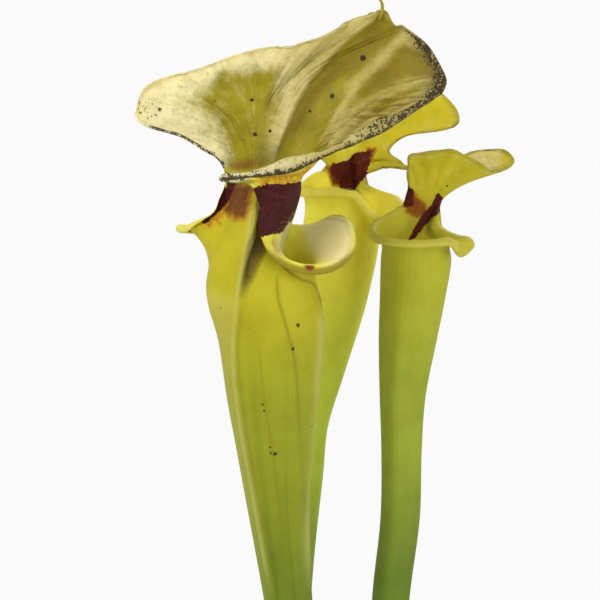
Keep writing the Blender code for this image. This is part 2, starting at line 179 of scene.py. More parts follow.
def makeBackdrop(look):
    profile = [(far, 0.0) for far in (*look["rings"], look["floor"])]
    for step in range(1, look["steps"] + 1):
        turn = step / look["steps"] * pi / 2
        profile.append((look["floor"] + look["bend"] * sin(turn), look["bend"] * (1 - cos(turn))))
    profile.append((look["floor"] + look["bend"], look["wall"]))
    build = bmesh.new()
    rows = [[build.verts.new((far * cos(t), far * sin(t), z - look["sunk"])) for t in turnsOf(look["sides"])]
            for far, z in profile]
    build.faces.new(rows[0])
    for low, high in zip(rows, rows[1:]):
        for k in range(look["sides"]):
            build.faces.new((low[k - 1], high[k - 1], high[k], low[k]))
    bmesh.ops.recalc_face_normals(build, faces=build.faces)
    if build.faces[0].normal.z < 0:
        bmesh.ops.reverse_faces(build, faces=build.faces)
    mesh = meshFrom(build, "Backdrop")
    mesh.shade_smooth()
    material, tree, shader = nodeMaterial("Backdrop paper", Emission_Color=look["glow"], Roughness=1.0,
                                          Specular_IOR_Level=0.0)
    place = addNode(tree, "ShaderNodeTexCoord").outputs["Object"]
    away = addNode(tree, "ShaderNodeVectorMath", [(0, place)], operation="LENGTH").outputs["Value"]
    # near the pot the floor takes shadows, further out it glows evenly
    for start, end, socket in ((0.5, 0.02, "Base Color"), (0.45, 1.0, "Emission Strength")):
        tree.links.new(smoothRange(tree, away, look["near"], look["far"], start, end), shader.inputs[socket])
    addObject("Backdrop", mesh, material)


makeBackdrop(backdropLook)
print("studio ready", flush=True)


# Leaves. Each table is in millimetres from the middle of the leaf's mouth: x to the right, y away from
# the viewer, z up. Stations are height, middle x, middle y and half width of the tube. A vein is its angle
# from the keel and four points above the tube, the last on the free edge. The curl is the rolled edge: angle
# from the keel, radius, and degrees rolled.
frontLeaf = {
    "place": (-25.7, -15.0, 425.0), "keel": -20.0, "depth": 0.88, "wing": 1.8,
    "columns": 9, "tubeRows": 6, "rows": [8, 12, 22, 24],
    "curl": [(-180, 0.7, 200), (-103, 0.6, 220), (-89, 0.7, 230), (-78, 0.7, 220), (-68, 0.4, 180),
             (-49, 0.25, 120), (-17, 0.3, 120), (0, 0.25, 100), (5, 0.4, 150), (13, 1.0, 200), (21, 1.6, 230),
             (29, 1.35, 240), (32, 0.7, 230), (34, 0.3, 200), (37, 0.15, 90), (48, 0.25, 120),
             (58, 0.35, 190), (70, 0.45, 210), (104, 0.4, 210), (124, 0.5, 210)],
    "stations": [(-330, 28, 8, 4.6), (-280, 25, 7, 4.9), (-220, 20, 5, 5.6), (-160, 13, 3, 7),
                 (-120, 8.1, 1.5, 8.3), (-87, 4.7, 0.5, 10.7), (-70, 3.9, 0, 12.9),
                 (-54, 3.2, 0, 15.1), (-33, 2.8, 0, 17.8), (-21, 0.7, 0, 19.0),
                 (-13, -0.5, 0, 18.2)],
    "veins": [
        (-180, (6, 15, -4), (7, 17, 1), (8, 20, 2.5), (9, 22, 0.5)),
        (-150, (-5, 15, -4), (-6, 17, 1), (-8, 20, 2.5), (-9, 22, 0.5)),
        (-122, (-13, 13, -4), (-16, 15.5, 0.5), (-19, 17.5, 2.4), (-21, 19, 1.6)),
        (-103, (-18, 9, -4), (-21.5, 10.5, 0.5), (-25.2, 12, 3), (-27, 12, 2.8)),
        (-89, (-19, 4, -4), (-22, 4.5, 0.8), (-25.6, 5, 3.8), (-27.4, 4.6, 4.1)),
        (-78, (-17, -1, -1.5), (-18.8, 0, 2), (-21.3, 0.5, 4), (-23.5, 1.5, 4.5)),
        (-68, (-13.6, -4.2, 2.6), (-14.3, -2.5, 6), (-15.2, -1, 7.6), (-16.4, 0.3, 8)),
        (-58, (-11.8, -6.5, 6), (-10.7, -5.2, 11), (-11.2, -3.6, 13.6), (-12.6, -2, 14.8)),
        (-49, (-10.4, -9, 7.7), (-9.6, -6.4, 17), (-10.4, -5.6, 22.3), (-12.6, -4.8, 25.6)),
        (-41, (-9, -10.5, 8.3), (-8.2, -6.8, 20), (-12.6, -4.4, 30.4), (-26, -8, 34.7)),
        (-33, (-7.6, -11.7, 8.7), (-6.6, -6.6, 21.6), (-17, -1.8, 36), (-41, -8, 42)),
        (-25, (-6.2, -12.7, 9), (-5.2, -6, 22.8), (-14.5, 1, 40.5), (-38.5, -4, 50)),
        (-17, (-4.6, -13.6, 9.2), (-3.6, -5, 24), (-7.5, 4, 42.5), (-19, 1, 57.8)),
        (-9, (-3, -14.3, 9.3), (-1.8, -4, 25.5), (0, 6, 45.5), (5, 4, 64)),
        (-6.5, (-2.5, -14.5, 9.4), (-1.2, -3.8, 25.8), (2.5, 6.6, 47.2), (12.5, 4.2, 64.8)),
        (-4, (-2, -14.7, 9.4), (-0.5, -3.5, 26), (5, 7, 49.5), (25, 5, 70.8)),
        (-2, (-1.6, -14.9, 9.45), (0.1, -3.2, 26.3), (7.3, 7.5, 51.5), (32.3, 5.6, 74.4)),
        (0, (-1.2, -15, 9.5), (0.6, -3, 26.5), (9.5, 8, 53), (40, 6, 75.2)),
        (2.5, (-0.2, -14, 9.45), (1.5, -2.8, 26.5), (12.4, 8, 52.5), (44.0, 6, 70.4)),
        (5, (0.6, -13, 9.4), (2.4, -2.6, 26.5), (15, 8, 51.5), (47.2, 5.5, 70)),
        (9, (2.8, -10, 9.1), (4.8, -1.8, 25.7), (20, 7, 48), (54.5, 1.5, 62.5)),
        (13, (4.5, -7.8, 8.8), (6.8, -1.4, 24.8), (24, 4, 43), (59.5, -4.5, 53)),
        (17, (6, -6.5, 8.5), (8.6, -1.4, 23.7), (25.5, 0, 37.5), (52, -9, 45)),
        (21, (7.3, -5.5, 8.2), (10.3, -1.8, 22.4), (23, -5.5, 32.5), (34, -14, 35.5)),
        (25, (8.4, -5, 7.7), (11.8, -3, 20.8), (16, -12, 26), (13, -18.5, 26.5)),
        (29, (9.2, -5, 7), (12.2, -4.5, 19), (9, -16, 22), (-2, -20.5, 23.2)),
        (34, (8.9, -6, 6.3), (11.4, -7, 16.5), (5, -17, 19), (-13, -20.5, 22.4)),
        (37, (7.6, -8, 5.4), (10.7, -8.2, 13.8), (5.3, -16.9, 17.8), (-2.6, -19.6, 20.3)),
        (40, (6.2, -9.8, 4), (9.3, -10.4, 11), (5.5, -16.5, 13.5), (-0.9, -18.8, 13.5)),
        (48, (5.4, -12.2, -1.2), (3.8, -15.7, 3), (2.5, -17.8, 4.6), (0.3, -18.6, 4)),
        (58, (8.6, -12, -6.5), (6.5, -16, -3.4), (5.5, -17.6, -2.4), (4.6, -18.2, -3.4)),
        (70, (12.8, -10.2, -9), (13.2, -13, -7.2), (12.6, -16, -6.3), (12.5, -17.2, -7.4)),
        (86, (17, -4.5, -9), (19.5, -8.3, -7.2), (22.2, -11.6, -6.4), (23, -12.6, -7.6)),
        (104, (18.5, 1, -6.5), (23.3, -2, -3.2), (28, -4.5, -1.4), (29.6, -5, -2.6)),
        (124, (17.3, 6, -4.5), (23.5, 5, 1.5), (28, 4, 5.2), (29, 4, 5.2)),
        (142, (14, 10.5, -4.5), (19.5, 11, 1.7), (23, 11.5, 5.6), (23.5, 12, 6.4)),
        (160, (10, 14.5, -4.5), (13, 15.5, 0.8), (15.5, 17, 3), (16, 18.5, 2.2)),
    ],
}

middleLeaf = {
    "place": (4.3, 42.0, 430.1), "keel": 170.0, "depth": 0.9, "wing": 1.5,
    "columns": 6, "tubeRows": 6, "rows": [6, 10, 14, 14],
    "curl": [(-180, 0.35, 210), (-118, 0.5, 220), (-64, 0.6, 220), (-44, 0.25, 120), (40, 0.25, 120),
             (62, 0.5, 220), (148, 0.35, 210)],
    "stations": [(-338, -14, -28, 4.5), (-280, -16, -25, 4.8), (-220, -19, -18, 5.3), (-160, -20.5, -10, 5.9),
                 (-127, -19.4, -6, 6.6), (-95, -17.2, -3, 7.8), (-78, -16.4, -2, 8.7),
                 (-59, -12.3, -1, 10.4), (-33, -6.3, 0, 12.4),
                 (-10, -3.3, 0, 13.6)],
    "veins": [
        (-180, (-6, -12.5, 3), (-6, -13.5, 6.5), (-6, -15, 7.6), (-6, -16.5, 6.5)),
        (-155, (0, -12, 2), (0.3, -13, 5.5), (0.8, -14.5, 6.8), (1.2, -16, 5.5)),
        (-135, (4, -10.5, -2), (5, -12, 0), (6.5, -13.5, 0.3), (7.3, -14.5, -1.5)),
        (-118, (7.5, -8, -5), (10, -9.5, -4.5), (12.5, -10.5, -4.3), (13.5, -11, -6)),
        (-102, (9, -4, -5), (13, -5, -3), (16.5, -5.5, -2), (17.8, -5.5, -3)),
        (-86, (9.3, 0, -4), (13.5, 0, -0.5), (17, 0.5, 1.3), (18.2, 1, 1)),
        (-70, (8, 3.5, -3), (11.5, 4, 1), (14.5, 5, 3), (15.5, 5.5, 3)),
        (-58, (6.6, 6, -1), (7.8, 7, 3), (9.5, 8, 4.6), (10.5, 8.5, 4)),
        (-48, (5, 7.7, 0.8), (4.4, 8.6, 5), (5.3, 9, 6.8), (6.3, 9.5, 6.4)),
        (-40, (4.3, 8.9, 2.3), (3.4, 9.3, 7), (4.2, 9.4, 9.2), (5.5, 9.7, 10)),
        (-34, (3.7, 9.4, 3.2), (3.2, 9.3, 9.3), (6.8, 8.3, 12), (11.5, 6.8, 13.2)),
        (-29, (3.2, 9.7, 3.9), (3, 9.4, 11.5), (9.8, 8.4, 16), (20, 4.4, 13.4)),
        (-24, (2.8, 10, 4.4), (2.8, 9.5, 13), (9.3, 8, 15.8), (17.3, 6, 15.2)),
        (-18, (2.3, 10.2, 4.9), (2.5, 9.7, 14.4), (8.4, 9.6, 18.4), (13.4, 9.4, 19.2)),
        (-12, (1.8, 10.4, 5.3), (2.2, 9.8, 15.5), (10, 10.6, 21.8), (20, 10.4, 24.2)),
        (-6, (1.2, 10.6, 5.6), (1.8, 9.9, 16.4), (14, 12.5, 27), (38, 10, 28.5)),
        (-3, (0.7, 10.7, 5.8), (1.4, 9.9, 17), (14, 13, 31), (34, 12, 37)),
        (0, (0, 10.8, 6), (1, 9.9, 17.4), (8, 14, 33.5), (13, 13, 50)),
        (6, (-1, 10.8, 6), (0, 9.8, 17.6), (-1, 15, 33), (0, 14, 47)),
        (13, (-2, 10.6, 6), (-1.2, 9.3, 17.5), (-8, 14, 31), (-13, 12, 42)),
        (20, (-3, 10.3, 6), (-2.6, 9, 17), (-12, 12, 27), (-22, 8, 34)),
        (27, (-3.9, 10, 6), (-3.8, 8.7, 16), (-12.5, 9, 22.5), (-22, 4, 26)),
        (34, (-4.7, 9.6, 6), (-4.8, 8.8, 13.3), (-8.5, 7.8, 17), (-14, 5, 19)),
        (42, (-5.6, 9.2, 5.7), (-5.5, 8.9, 11.3), (-6.5, 8.8, 13.3), (-7.9, 8.6, 14.4)),
        (52, (-7, 8.6, 5), (-7.4, 8.9, 9.6), (-8.3, 9.2, 11.2), (-9.4, 9.5, 11.2)),
        (64, (-9.5, 7.3, 3), (-10.7, 8, 8.5), (-12, 8.5, 10.5), (-13, 9, 9.7)),
        (80, (-13, 4.5, 1), (-14.4, 5, 6), (-15.8, 5.5, 8), (-16.8, 5.8, 7)),
        (100, (-15.8, -0.5, 0.5), (-16.8, -0.7, 4.8), (-18, -1, 6.5), (-18.8, -1.2, 5.6)),
        (122, (-15, -6, 1), (-15.7, -7, 5), (-16.8, -8, 6.6), (-17.6, -8.8, 5.6)),
        (148, (-11, -10.5, 2), (-11.4, -11.5, 5.8), (-12, -13, 7.2), (-12.5, -14.2, 6.1)),
    ],
}

rightLeaf = {
    "place": (26.3, 18.0, 422.6), "keel": 160.0, "depth": 0.9, "wing": 1.5,
    "columns": 6, "tubeRows": 6, "rows": [6, 10, 14, 14],
    "curl": [(-180, 0.3, 200), (-116, 0.35, 200), (-100, 0.3, 160), (-62, 0.3, 160), (-44, 0.25, 120),
             (40, 0.25, 120), (62, 0.4, 210), (157, 0.3, 200)],
    "stations": [(-330, -14.5, -10, 4.5), (-280, -14, -9.5, 4.7), (-220, -13, -8, 5.2), (-160, -10, -6, 5.8),
                 (-125, -7.9, -4, 6.5), (-98, -4.8, -2, 6.8),
                 (-74, -4.4, -0.5, 7), (-56, -4.1, 0, 7.9), (-36, -2.4, 0, 10), (-22, -0.9, 0, 11.2),
                 (-8, 0.3, 0, 12.1)],
    "veins": [
        (-180, (-4, -10.8, -3.5), (-4, -12, -1), (-4.2, -13.5, -0.3), (-4.4, -14.6, -1.1)),
        (-158, (0.5, -11.2, -3.6), (0.6, -12.4, -1.1), (0.7, -14, -0.4), (0.8, -15, -1.2)),
        (-136, (5, -10.3, -3.5), (5.6, -11.5, -0.9), (6.4, -13, -0.2), (7, -13.9, -0.9)),
        (-116, (8.5, -8, -3.3), (9.5, -9.3, -0.6), (11, -10.5, 0), (12, -11.3, -1.3)),
        (-100, (10.8, -5.5, -3.5), (13, -6.5, -1.3), (15, -7.5, -2.5), (15.3, -8, -5.5)),
        (-86, (11.8, -3, -3), (15.5, -3.5, -0.3), (18.3, -4, -1), (18.9, -4, -3.6)),
        (-74, (11.8, 0, -3), (15.5, 0, -0.8), (18.6, 0.5, -1.5), (19.6, 0.5, -2.8)),
        (-62, (11, 2.7, -2.8), (13.8, 3.4, -0.8), (16.4, 4, -1.2), (17.4, 4.2, -2.2)),
        (-50, (9.6, 5.2, -2), (11, 6.3, -0.1), (12.4, 7.2, 0), (13.3, 7.6, -0.8)),
        (-39, (8, 7.4, -1), (8.4, 9, 1.6), (9, 10.4, 2), (9.8, 11, 1.5)),
        (-30, (6.8, 8.8, 0.5), (7.2, 10.6, 5), (7.8, 12.4, 7), (8.6, 13.6, 7.5)),
        (-23, (6, 9.4, 1.2), (7.4, 11, 7.5), (10, 13.5, 13), (13, 17, 17)),
        (-16, (5.4, 9.8, 1.6), (7.6, 11.2, 8.6), (12, 14, 17), (18, 20, 25.5)),
        (-9, (4.9, 10, 1.8), (7.6, 11, 9.2), (14.5, 13.5, 19), (30, 20, 27.5)),
        (-4, (4.4, 10.2, 1.9), (7.5, 10.8, 9.4), (15.5, 12, 18.5), (34.5, 15, 24.5)),
        (0, (4, 10.3, 2), (7, 10.6, 9.2), (15, 10, 16), (27, 8, 21.3)),
        (5, (3.4, 10.4, 2.2), (6.2, 10.3, 9.6), (12.5, 8.5, 18.5), (18.5, 6, 26.2)),
        (11, (2.6, 10.4, 2.4), (5, 10.1, 10.2), (9.5, 8, 20), (11.5, 5, 28.8)),
        (18, (1.7, 10.4, 2.6), (3.6, 10, 10.7), (6, 8, 20.5), (4.5, 4, 28)),
        (26, (0.7, 10.3, 2.8), (2, 9.9, 11), (2.5, 8, 20), (-1.5, 4, 27)),
        (34, (-0.4, 10.1, 3), (0.4, 9.8, 11), (0, 8.2, 18), (-2.2, 5.5, 22.3)),
        (42, (-1.5, 9.8, 3), (-1, 9.8, 9.5), (-1.2, 9, 13), (-2, 8, 15)),
        (50, (-2.8, 9.4, 2.6), (-2.6, 9.8, 7), (-2.8, 9.8, 9), (-3.5, 9.8, 9.3)),
        (60, (-4.5, 8.7, 1.2), (-5, 9.4, 5.5), (-5.8, 9.8, 7.6), (-6.6, 10.2, 7.5)),
        (74, (-7, 7.3, -1), (-8.3, 8.2, 3), (-9.8, 8.8, 5.2), (-10.8, 9.2, 5)),
        (92, (-10, 4, -2.5), (-11.8, 4.5, 1), (-13.6, 5, 3.2), (-14.8, 5.2, 2.8)),
        (112, (-11.5, -0.5, -3), (-13, -0.8, 0.4), (-14.5, -1, 2), (-15.8, -1.2, 1.2)),
        (135, (-10.5, -5.2, -3.4), (-11.7, -6, -0.5), (-12.8, -6.8, 0.7), (-14, -7.6, -0.3)),
        (157, (-7.8, -8.6, -3.5), (-8.4, -9.6, -0.9), (-9, -11, 0), (-9.8, -12.1, -0.8)),
    ],
}


# The thin shell of a leaf, in millimetres, and how it is mapped: along runs from -1 at the foot to 4 at the
# free edge and on over the rolled edge, then back down the inner side.
shellLook = {"wall": 0.72, "thinHood": 0.20, "thinEdge": 0.16, "thinKeel": 0.5, "rolls": 9, "rolled": 0.3,
             "edgeRows": [4.33, 4.36, 4.39], "back": 8.7, "mapped": 11}

# The wing along the keel of the tube: how wide it is, and how it fades below its top and above its foot.
wingLook = {"width": 2.4, "top": -20, "topFade": 25, "foot": -300, "footFade": 60}


def spline(points, steps, closed=False):
    points = np.asarray(points, float)
    count = len(points)
    spans = count if closed else count - 1
    steps = [steps] * spans if isinstance(steps, int) else steps
    found = []
    for i in range(spans):
        if closed:
            before, start, end, after = (points[(i + k) % count] for k in (-1, 0, 1, 2))
        else:
            start, end = points[i], points[i + 1]
            before = points[i - 1] if i > 0 else 2 * start - end
            after = points[i + 2] if i + 2 < count else 2 * end - start
        first, middle, last = (
            np.sqrt(np.linalg.norm(b - a, axis=-1, keepdims=True)) + 1e-6
            for a, b in ((before, start), (start, end), (end, after)))
        leave = end - start + middle * ((start - before) / first - (end - before) / (first + middle))
        arrive = end - start + middle * ((after - end) / last - (after - start) / (middle + last))
        for step in range(steps[i]):
            t = step / steps[i]
            found.append((2 * t**3 - 3 * t**2 + 1) * start + (t**3 - 2 * t**2 + t) * leave
                         + (3 * t**2 - 2 * t**3) * end + (t**3 - t**2) * arrive)
    if not closed:
        found.append(points[-1])
    return np.array(found)


def smoothStep(low, high, value):
    t = np.clip((value - low) / (high - low), 0, 1)
    return t * t * (3 - 2 * t)


def bump(value, middle, width):
    return np.exp(-((value - middle) / width) ** 2)


def unit(vectors):
    return vectors / (np.linalg.norm(vectors, axis=-1, keepdims=True) + 1e-9)


def normalsOf(grid):
    across = np.roll(grid, -1, 1) - np.roll(grid, 1, 1)
    return unit(np.cross(across, np.gradient(grid, axis=0)))


# Marks and folds are drawn in the front view, in thirds of a millimetre: x to the right, y down.
def frontView(points, look=cameraLook):
    lift = radians(look["elevation"])
    away = np.asarray(points) - np.array(look["target"])
    depth = away[..., 1] * cos(lift) - away[..., 2] * sin(lift) + look["distance"]
    up = away[..., 2] * cos(lift) + away[..., 1] * sin(lift)
    across, down = look["scale"] * away[..., 0] / depth, -look["scale"] * up / depth
    return look["middle"] + np.stack([across, down], -1)


def fromPath(spots, path):
    # distance from the path, positive to its right as it runs, and how far along it from 0 to 1
    x, y = spots[..., 0], spots[..., 1]
    nearest = np.full(x.shape, 1e9)
    sided = np.zeros(x.shape)
    where = np.zeros(x.shape)
    spans = len(path) - 1
    for i in range(spans):
        (x0, y0), (x1, y1) = path[i], path[i + 1]
        dx, dy = x1 - x0, y1 - y0
        length = dx * dx + dy * dy
        t = np.clip(((x - x0) * dx + (y - y0) * dy) / length, 0, 1)
        gap = np.hypot(x - x0 - t * dx, y - y0 - t * dy)
        closer = gap < nearest
        side = np.sign(dx * (y - y0) - dy * (x - x0))
        sided = np.where(closer, gap * side, sided)
        where = np.where(closer, (i + t) / spans, where)
        nearest = np.minimum(nearest, gap)
    return sided, where


def line(spots, path, width, fade=0.12):
    away, where = fromPath(spots, path)
    return bump(away, 0, width) * smoothStep(0, fade, where) * smoothStep(0, fade, 1 - where)


def patch(spots, outline, soft):
    # 1 well inside the outline, 0 well outside it
    x, y = spots[..., 0], spots[..., 1]
    inside = np.zeros(x.shape, bool)
    for (x0, y0), (x1, y1) in zip(outline, outline[1:] + outline[:1]):
        crosses = (y0 > y) != (y1 > y)
        inside ^= crosses & (x < (x1 - x0) * (y - y0) / (y1 - y0 + 1e-9) + x0)
    away = np.abs(fromPath(spots, outline + outline[:1])[0])
    return smoothStep(-soft, soft, np.where(inside, away, -away))


def leafSheet(leaf):
    # rows of points from the foot to the free edge, in millimetres, and where each row and column lies
    veins = leaf["veins"]
    count = len(veins)
    columns = leaf["columns"]
    rings = [spline([vein[k] for vein in veins], columns, True) for k in (1, 2, 3, 4)]
    angles = [vein[0] for vein in veins] + [veins[0][0] + 360]
    places = np.arange(count * columns) / columns
    angle = np.interp(places, np.arange(count + 1), angles)
    turn = np.radians(angle + leaf["keel"])
    fromSeam = (angle + 360) % 360 - 180

    def tubeRing(station):
        z, x, y, half = station
        fade = np.clip((wingLook["top"] - z) / wingLook["topFade"], 0, 1)
        fade = fade * np.clip((z - wingLook["foot"]) / wingLook["footFade"], 0, 1)
        wing = leaf["wing"] * bump(np.radians(fromSeam) * half, 0, wingLook["width"])
        reach = half + wing * fade
        return np.stack([x + reach * np.sin(turn), y - leaf["depth"] * reach * np.cos(turn),
                         np.full(len(turn), z)], 1)

    stations = spline(leaf["stations"], leaf["tubeRows"])
    lower = [tubeRing(station) for station in stations[:-leaf["tubeRows"] - 1]]
    top = [tubeRing(station) for station in leaf["stations"][-3:]]
    upper = spline(top + rings, [1, leaf["tubeRows"]] + leaf["rows"])[1:]
    grid = np.array(lower + list(upper))
    first = len(lower) + leaf["tubeRows"]
    along = [np.linspace(-1, 0, first, endpoint=False)]
    along += [k + np.arange(rows) / rows for k, rows in enumerate(leaf["rows"])] + [[4.0]]
    # the free edge is rolled outwards, by an angle and a radius that change round the leaf
    at, radii, amounts = zip(*leaf["curl"])
    radius = np.interp(angle, at, radii, period=360)[:, None]
    amount = np.radians(np.interp(angle, at, amounts, period=360))[:, None]
    ahead = unit(grid[-1] - grid[-2])
    out = normalsOf(grid)[-1]
    parts = np.arange(1, shellLook["rolls"] + 1) / shellLook["rolls"]
    rolled = [grid[-1] + radius * (np.sin(amount * part) * ahead + (1 - np.cos(amount * part)) * out)
              for part in parts]
    along.append(4 + parts * shellLook["rolled"])
    return np.concatenate([grid, rolled]), np.concatenate(along), places, angle


def store(mesh, name, values):
    layer = mesh.attributes.new(name, "FLOAT", "POINT")
    layer.data.foreach_set("value", np.asarray(values, np.float32).ravel())


def sheetFaces(rows, columns):
    # quads between the rows of a closed sheet, and a fan of triangles at each end
    i, j = np.meshgrid(np.arange(rows - 1), np.arange(columns), indexing="ij")
    k = (j + 1) % columns
    quads = np.stack([i * columns + j, i * columns + k, (i + 1) * columns + k, (i + 1) * columns + j], -1)
    j = np.arange(columns)
    k = (j + 1) % columns
    foot = np.stack([k, j, np.full(columns, rows * columns)], 1)
    last = (rows - 1) * columns
    inside = np.stack([last + j, last + k, np.full(columns, rows * columns + 1)], 1)
    return quads.reshape(-1, 4).tolist() + foot.tolist() + inside.tolist()


def mapLeaf(mesh, along, columns):
    # lays the leaf out flat: round it in one direction, from its foot over the edge and back in the other
    j = np.arange(columns)
    across = np.stack([j, j + 1, j + 1, j], 1).ravel()
    fans = [np.stack([j + 1, j, j + 0.5], 1).ravel(), np.stack([j, j + 1, j + 0.5], 1).ravel()]
    length = np.concatenate([along, shellLook["edgeRows"], shellLook["back"] - along[::-1]])
    up = np.stack([length[:-1], length[:-1], length[1:], length[1:]], 1)
    up = np.repeat(up[:, None], columns, 1).ravel()
    ends = [np.full(3 * columns, end) for end in (-1.0, shellLook["back"] + 1)]
    mapping = np.zeros((len(mesh.loops), 2))
    mapping[:, 0] = np.concatenate([np.tile(across, len(length) - 1), *fans]) / columns
    mapping[:, 1] = (np.concatenate([up, *ends]) + 1) / shellLook["mapped"]
    mesh.uv_layers.new(name="leafMap").data.foreach_set("uv", mapping.ravel())


def leafShell(name, leaf, relief, masks):
    grid, along, places, angle = leafSheet(leaf)
    rows, columns = grid.shape[:2]
    here = {
        "along": np.repeat(along[:, None], columns, 1), "vein": np.repeat(places[None, :], rows, 0),
        "angle": np.repeat(angle[None, :], rows, 0),
        "seen": frontView((grid + np.array(leaf["place"])) * mm),
    }
    steps = np.linalg.norm(np.diff(grid, axis=0), axis=2)
    rim = np.concatenate([np.cumsum(steps[::-1], axis=0)[::-1], np.zeros((1, columns))])
    edgeRow = -shellLook["rolls"] - 1
    here["rim"] = np.maximum(rim - rim[edgeRow:edgeRow + 1], 0)
    base = normalsOf(grid)
    here["facing"] = -base[..., 1] + 0.14 * base[..., 2]
    outer = grid + base * relief(here)[..., None]
    normals = normalsOf(outer)
    hood = smoothStep(1.6, 2.6, here["along"]) * (1 - smoothStep(38, 60, np.abs(here["angle"])))
    keel = bump(here["angle"], 2, 14) * smoothStep(-0.5, 0.0, here["along"])
    keel = keel * (1 - smoothStep(1.6, 2.2, here["along"]))
    wall = shellLook["wall"] - shellLook["thinHood"] * hood - shellLook["thinKeel"] * keel
    wall = (wall - shellLook["thinEdge"] * smoothStep(4.0, 4.3, here["along"]))[..., None]
    inner = outer - normals * wall
    middle = (outer[-1] + inner[-1]) / 2
    ahead = unit(outer[-1] - outer[-2])
    edge = [middle + wall[-1] / 2 * (cos(t) * normals[-1] + sin(t) * ahead)
            for t in (pi / 4, pi / 2, 3 * pi / 4)]
    sheet = np.concatenate([outer, edge, inner[::-1]])
    points = np.concatenate([sheet.reshape(-1, 3), [outer[0].mean(0)], [inner[0].mean(0) + (0, 0, 0.4)]])
    mesh = bpy.data.meshes.new(name)
    mesh.from_pydata((points + np.array(leaf["place"])) * mm, [], sheetFaces(len(sheet), columns))

    def spread(outside, within):
        whole = np.concatenate([outside, np.repeat(outside[-1:], len(edge), 0), within[::-1]])
        return np.concatenate([whole.ravel(), outside[0, :1], within[0, :1]])

    store(mesh, "inner", spread(np.zeros((rows, columns)), np.ones((rows, columns))))
    outside, within = masks(here, 0), masks(here, 1)
    for mask in outside:
        store(mesh, mask, spread(np.clip(outside[mask], 0, 1), np.clip(within[mask], 0, 1)))
    mapLeaf(mesh, along, columns)
    mesh.shade_smooth()
    return addObject(name + "_skin", mesh)


# Lines on the front leaf: folds, ridges, veins, seams and streaks.
frontLines = {
    "keelRidge": [(254, 200), (250, 228), (244, 258), (237, 298), (233, 340), (234, 378), (241, 430),
                  (254, 500), (270, 590)],
    "rightEdge": [(320, 300), (321, 340), (318, 375), (316, 420), (311, 480), (307, 530), (309, 600)],
    "veinRight": [(276, 272), (278, 300), (286, 326), (293, 352), (297, 380), (299, 428), (303, 500),
                  (305, 600)],
    "veinThin": [(258, 330), (262, 380), (265, 404), (273, 453), (277, 490), (283, 530)],
    # the groove under the lip roll, also darkened along its length as a painted shadow line
    "underLip": [(281, 264), (290, 272), (300, 279), (312, 282), (319, 290), (323, 310)],
    "midrib": [(270, 172), (283, 138), (299, 102), (312, 80), (331, 58), (352, 38), (374, 22), (381, 12)],
    "rightRidge": [(316, 158), (328, 136), (342, 109), (358, 88), (378, 70), (394, 46), (404, 34)],
    "farRidge": [(330, 150), (336, 142), (361, 116), (385, 96), (411, 84), (438, 79)],
    "leftRidge": [(229, 162), (224, 138), (209, 110), (190, 92), (168, 84)],
    "leftInner": [(272, 160), (274, 120), (277, 76), (284, 58)],
    "shade": [(286, 152), (300, 120), (315, 94), (334, 72), (356, 52), (378, 32)],
    "throatRidge": [(256, 204), (253.5, 222), (250.5, 238), (247, 250)],
    "seam": [(296, 213), (287, 226), (279, 238), (277, 248), (283, 258)],
    "flecks": [(268, 236), (273, 246), (279, 255)],
    "redSpot": [(302, 267.5), (316, 267.5)],
}

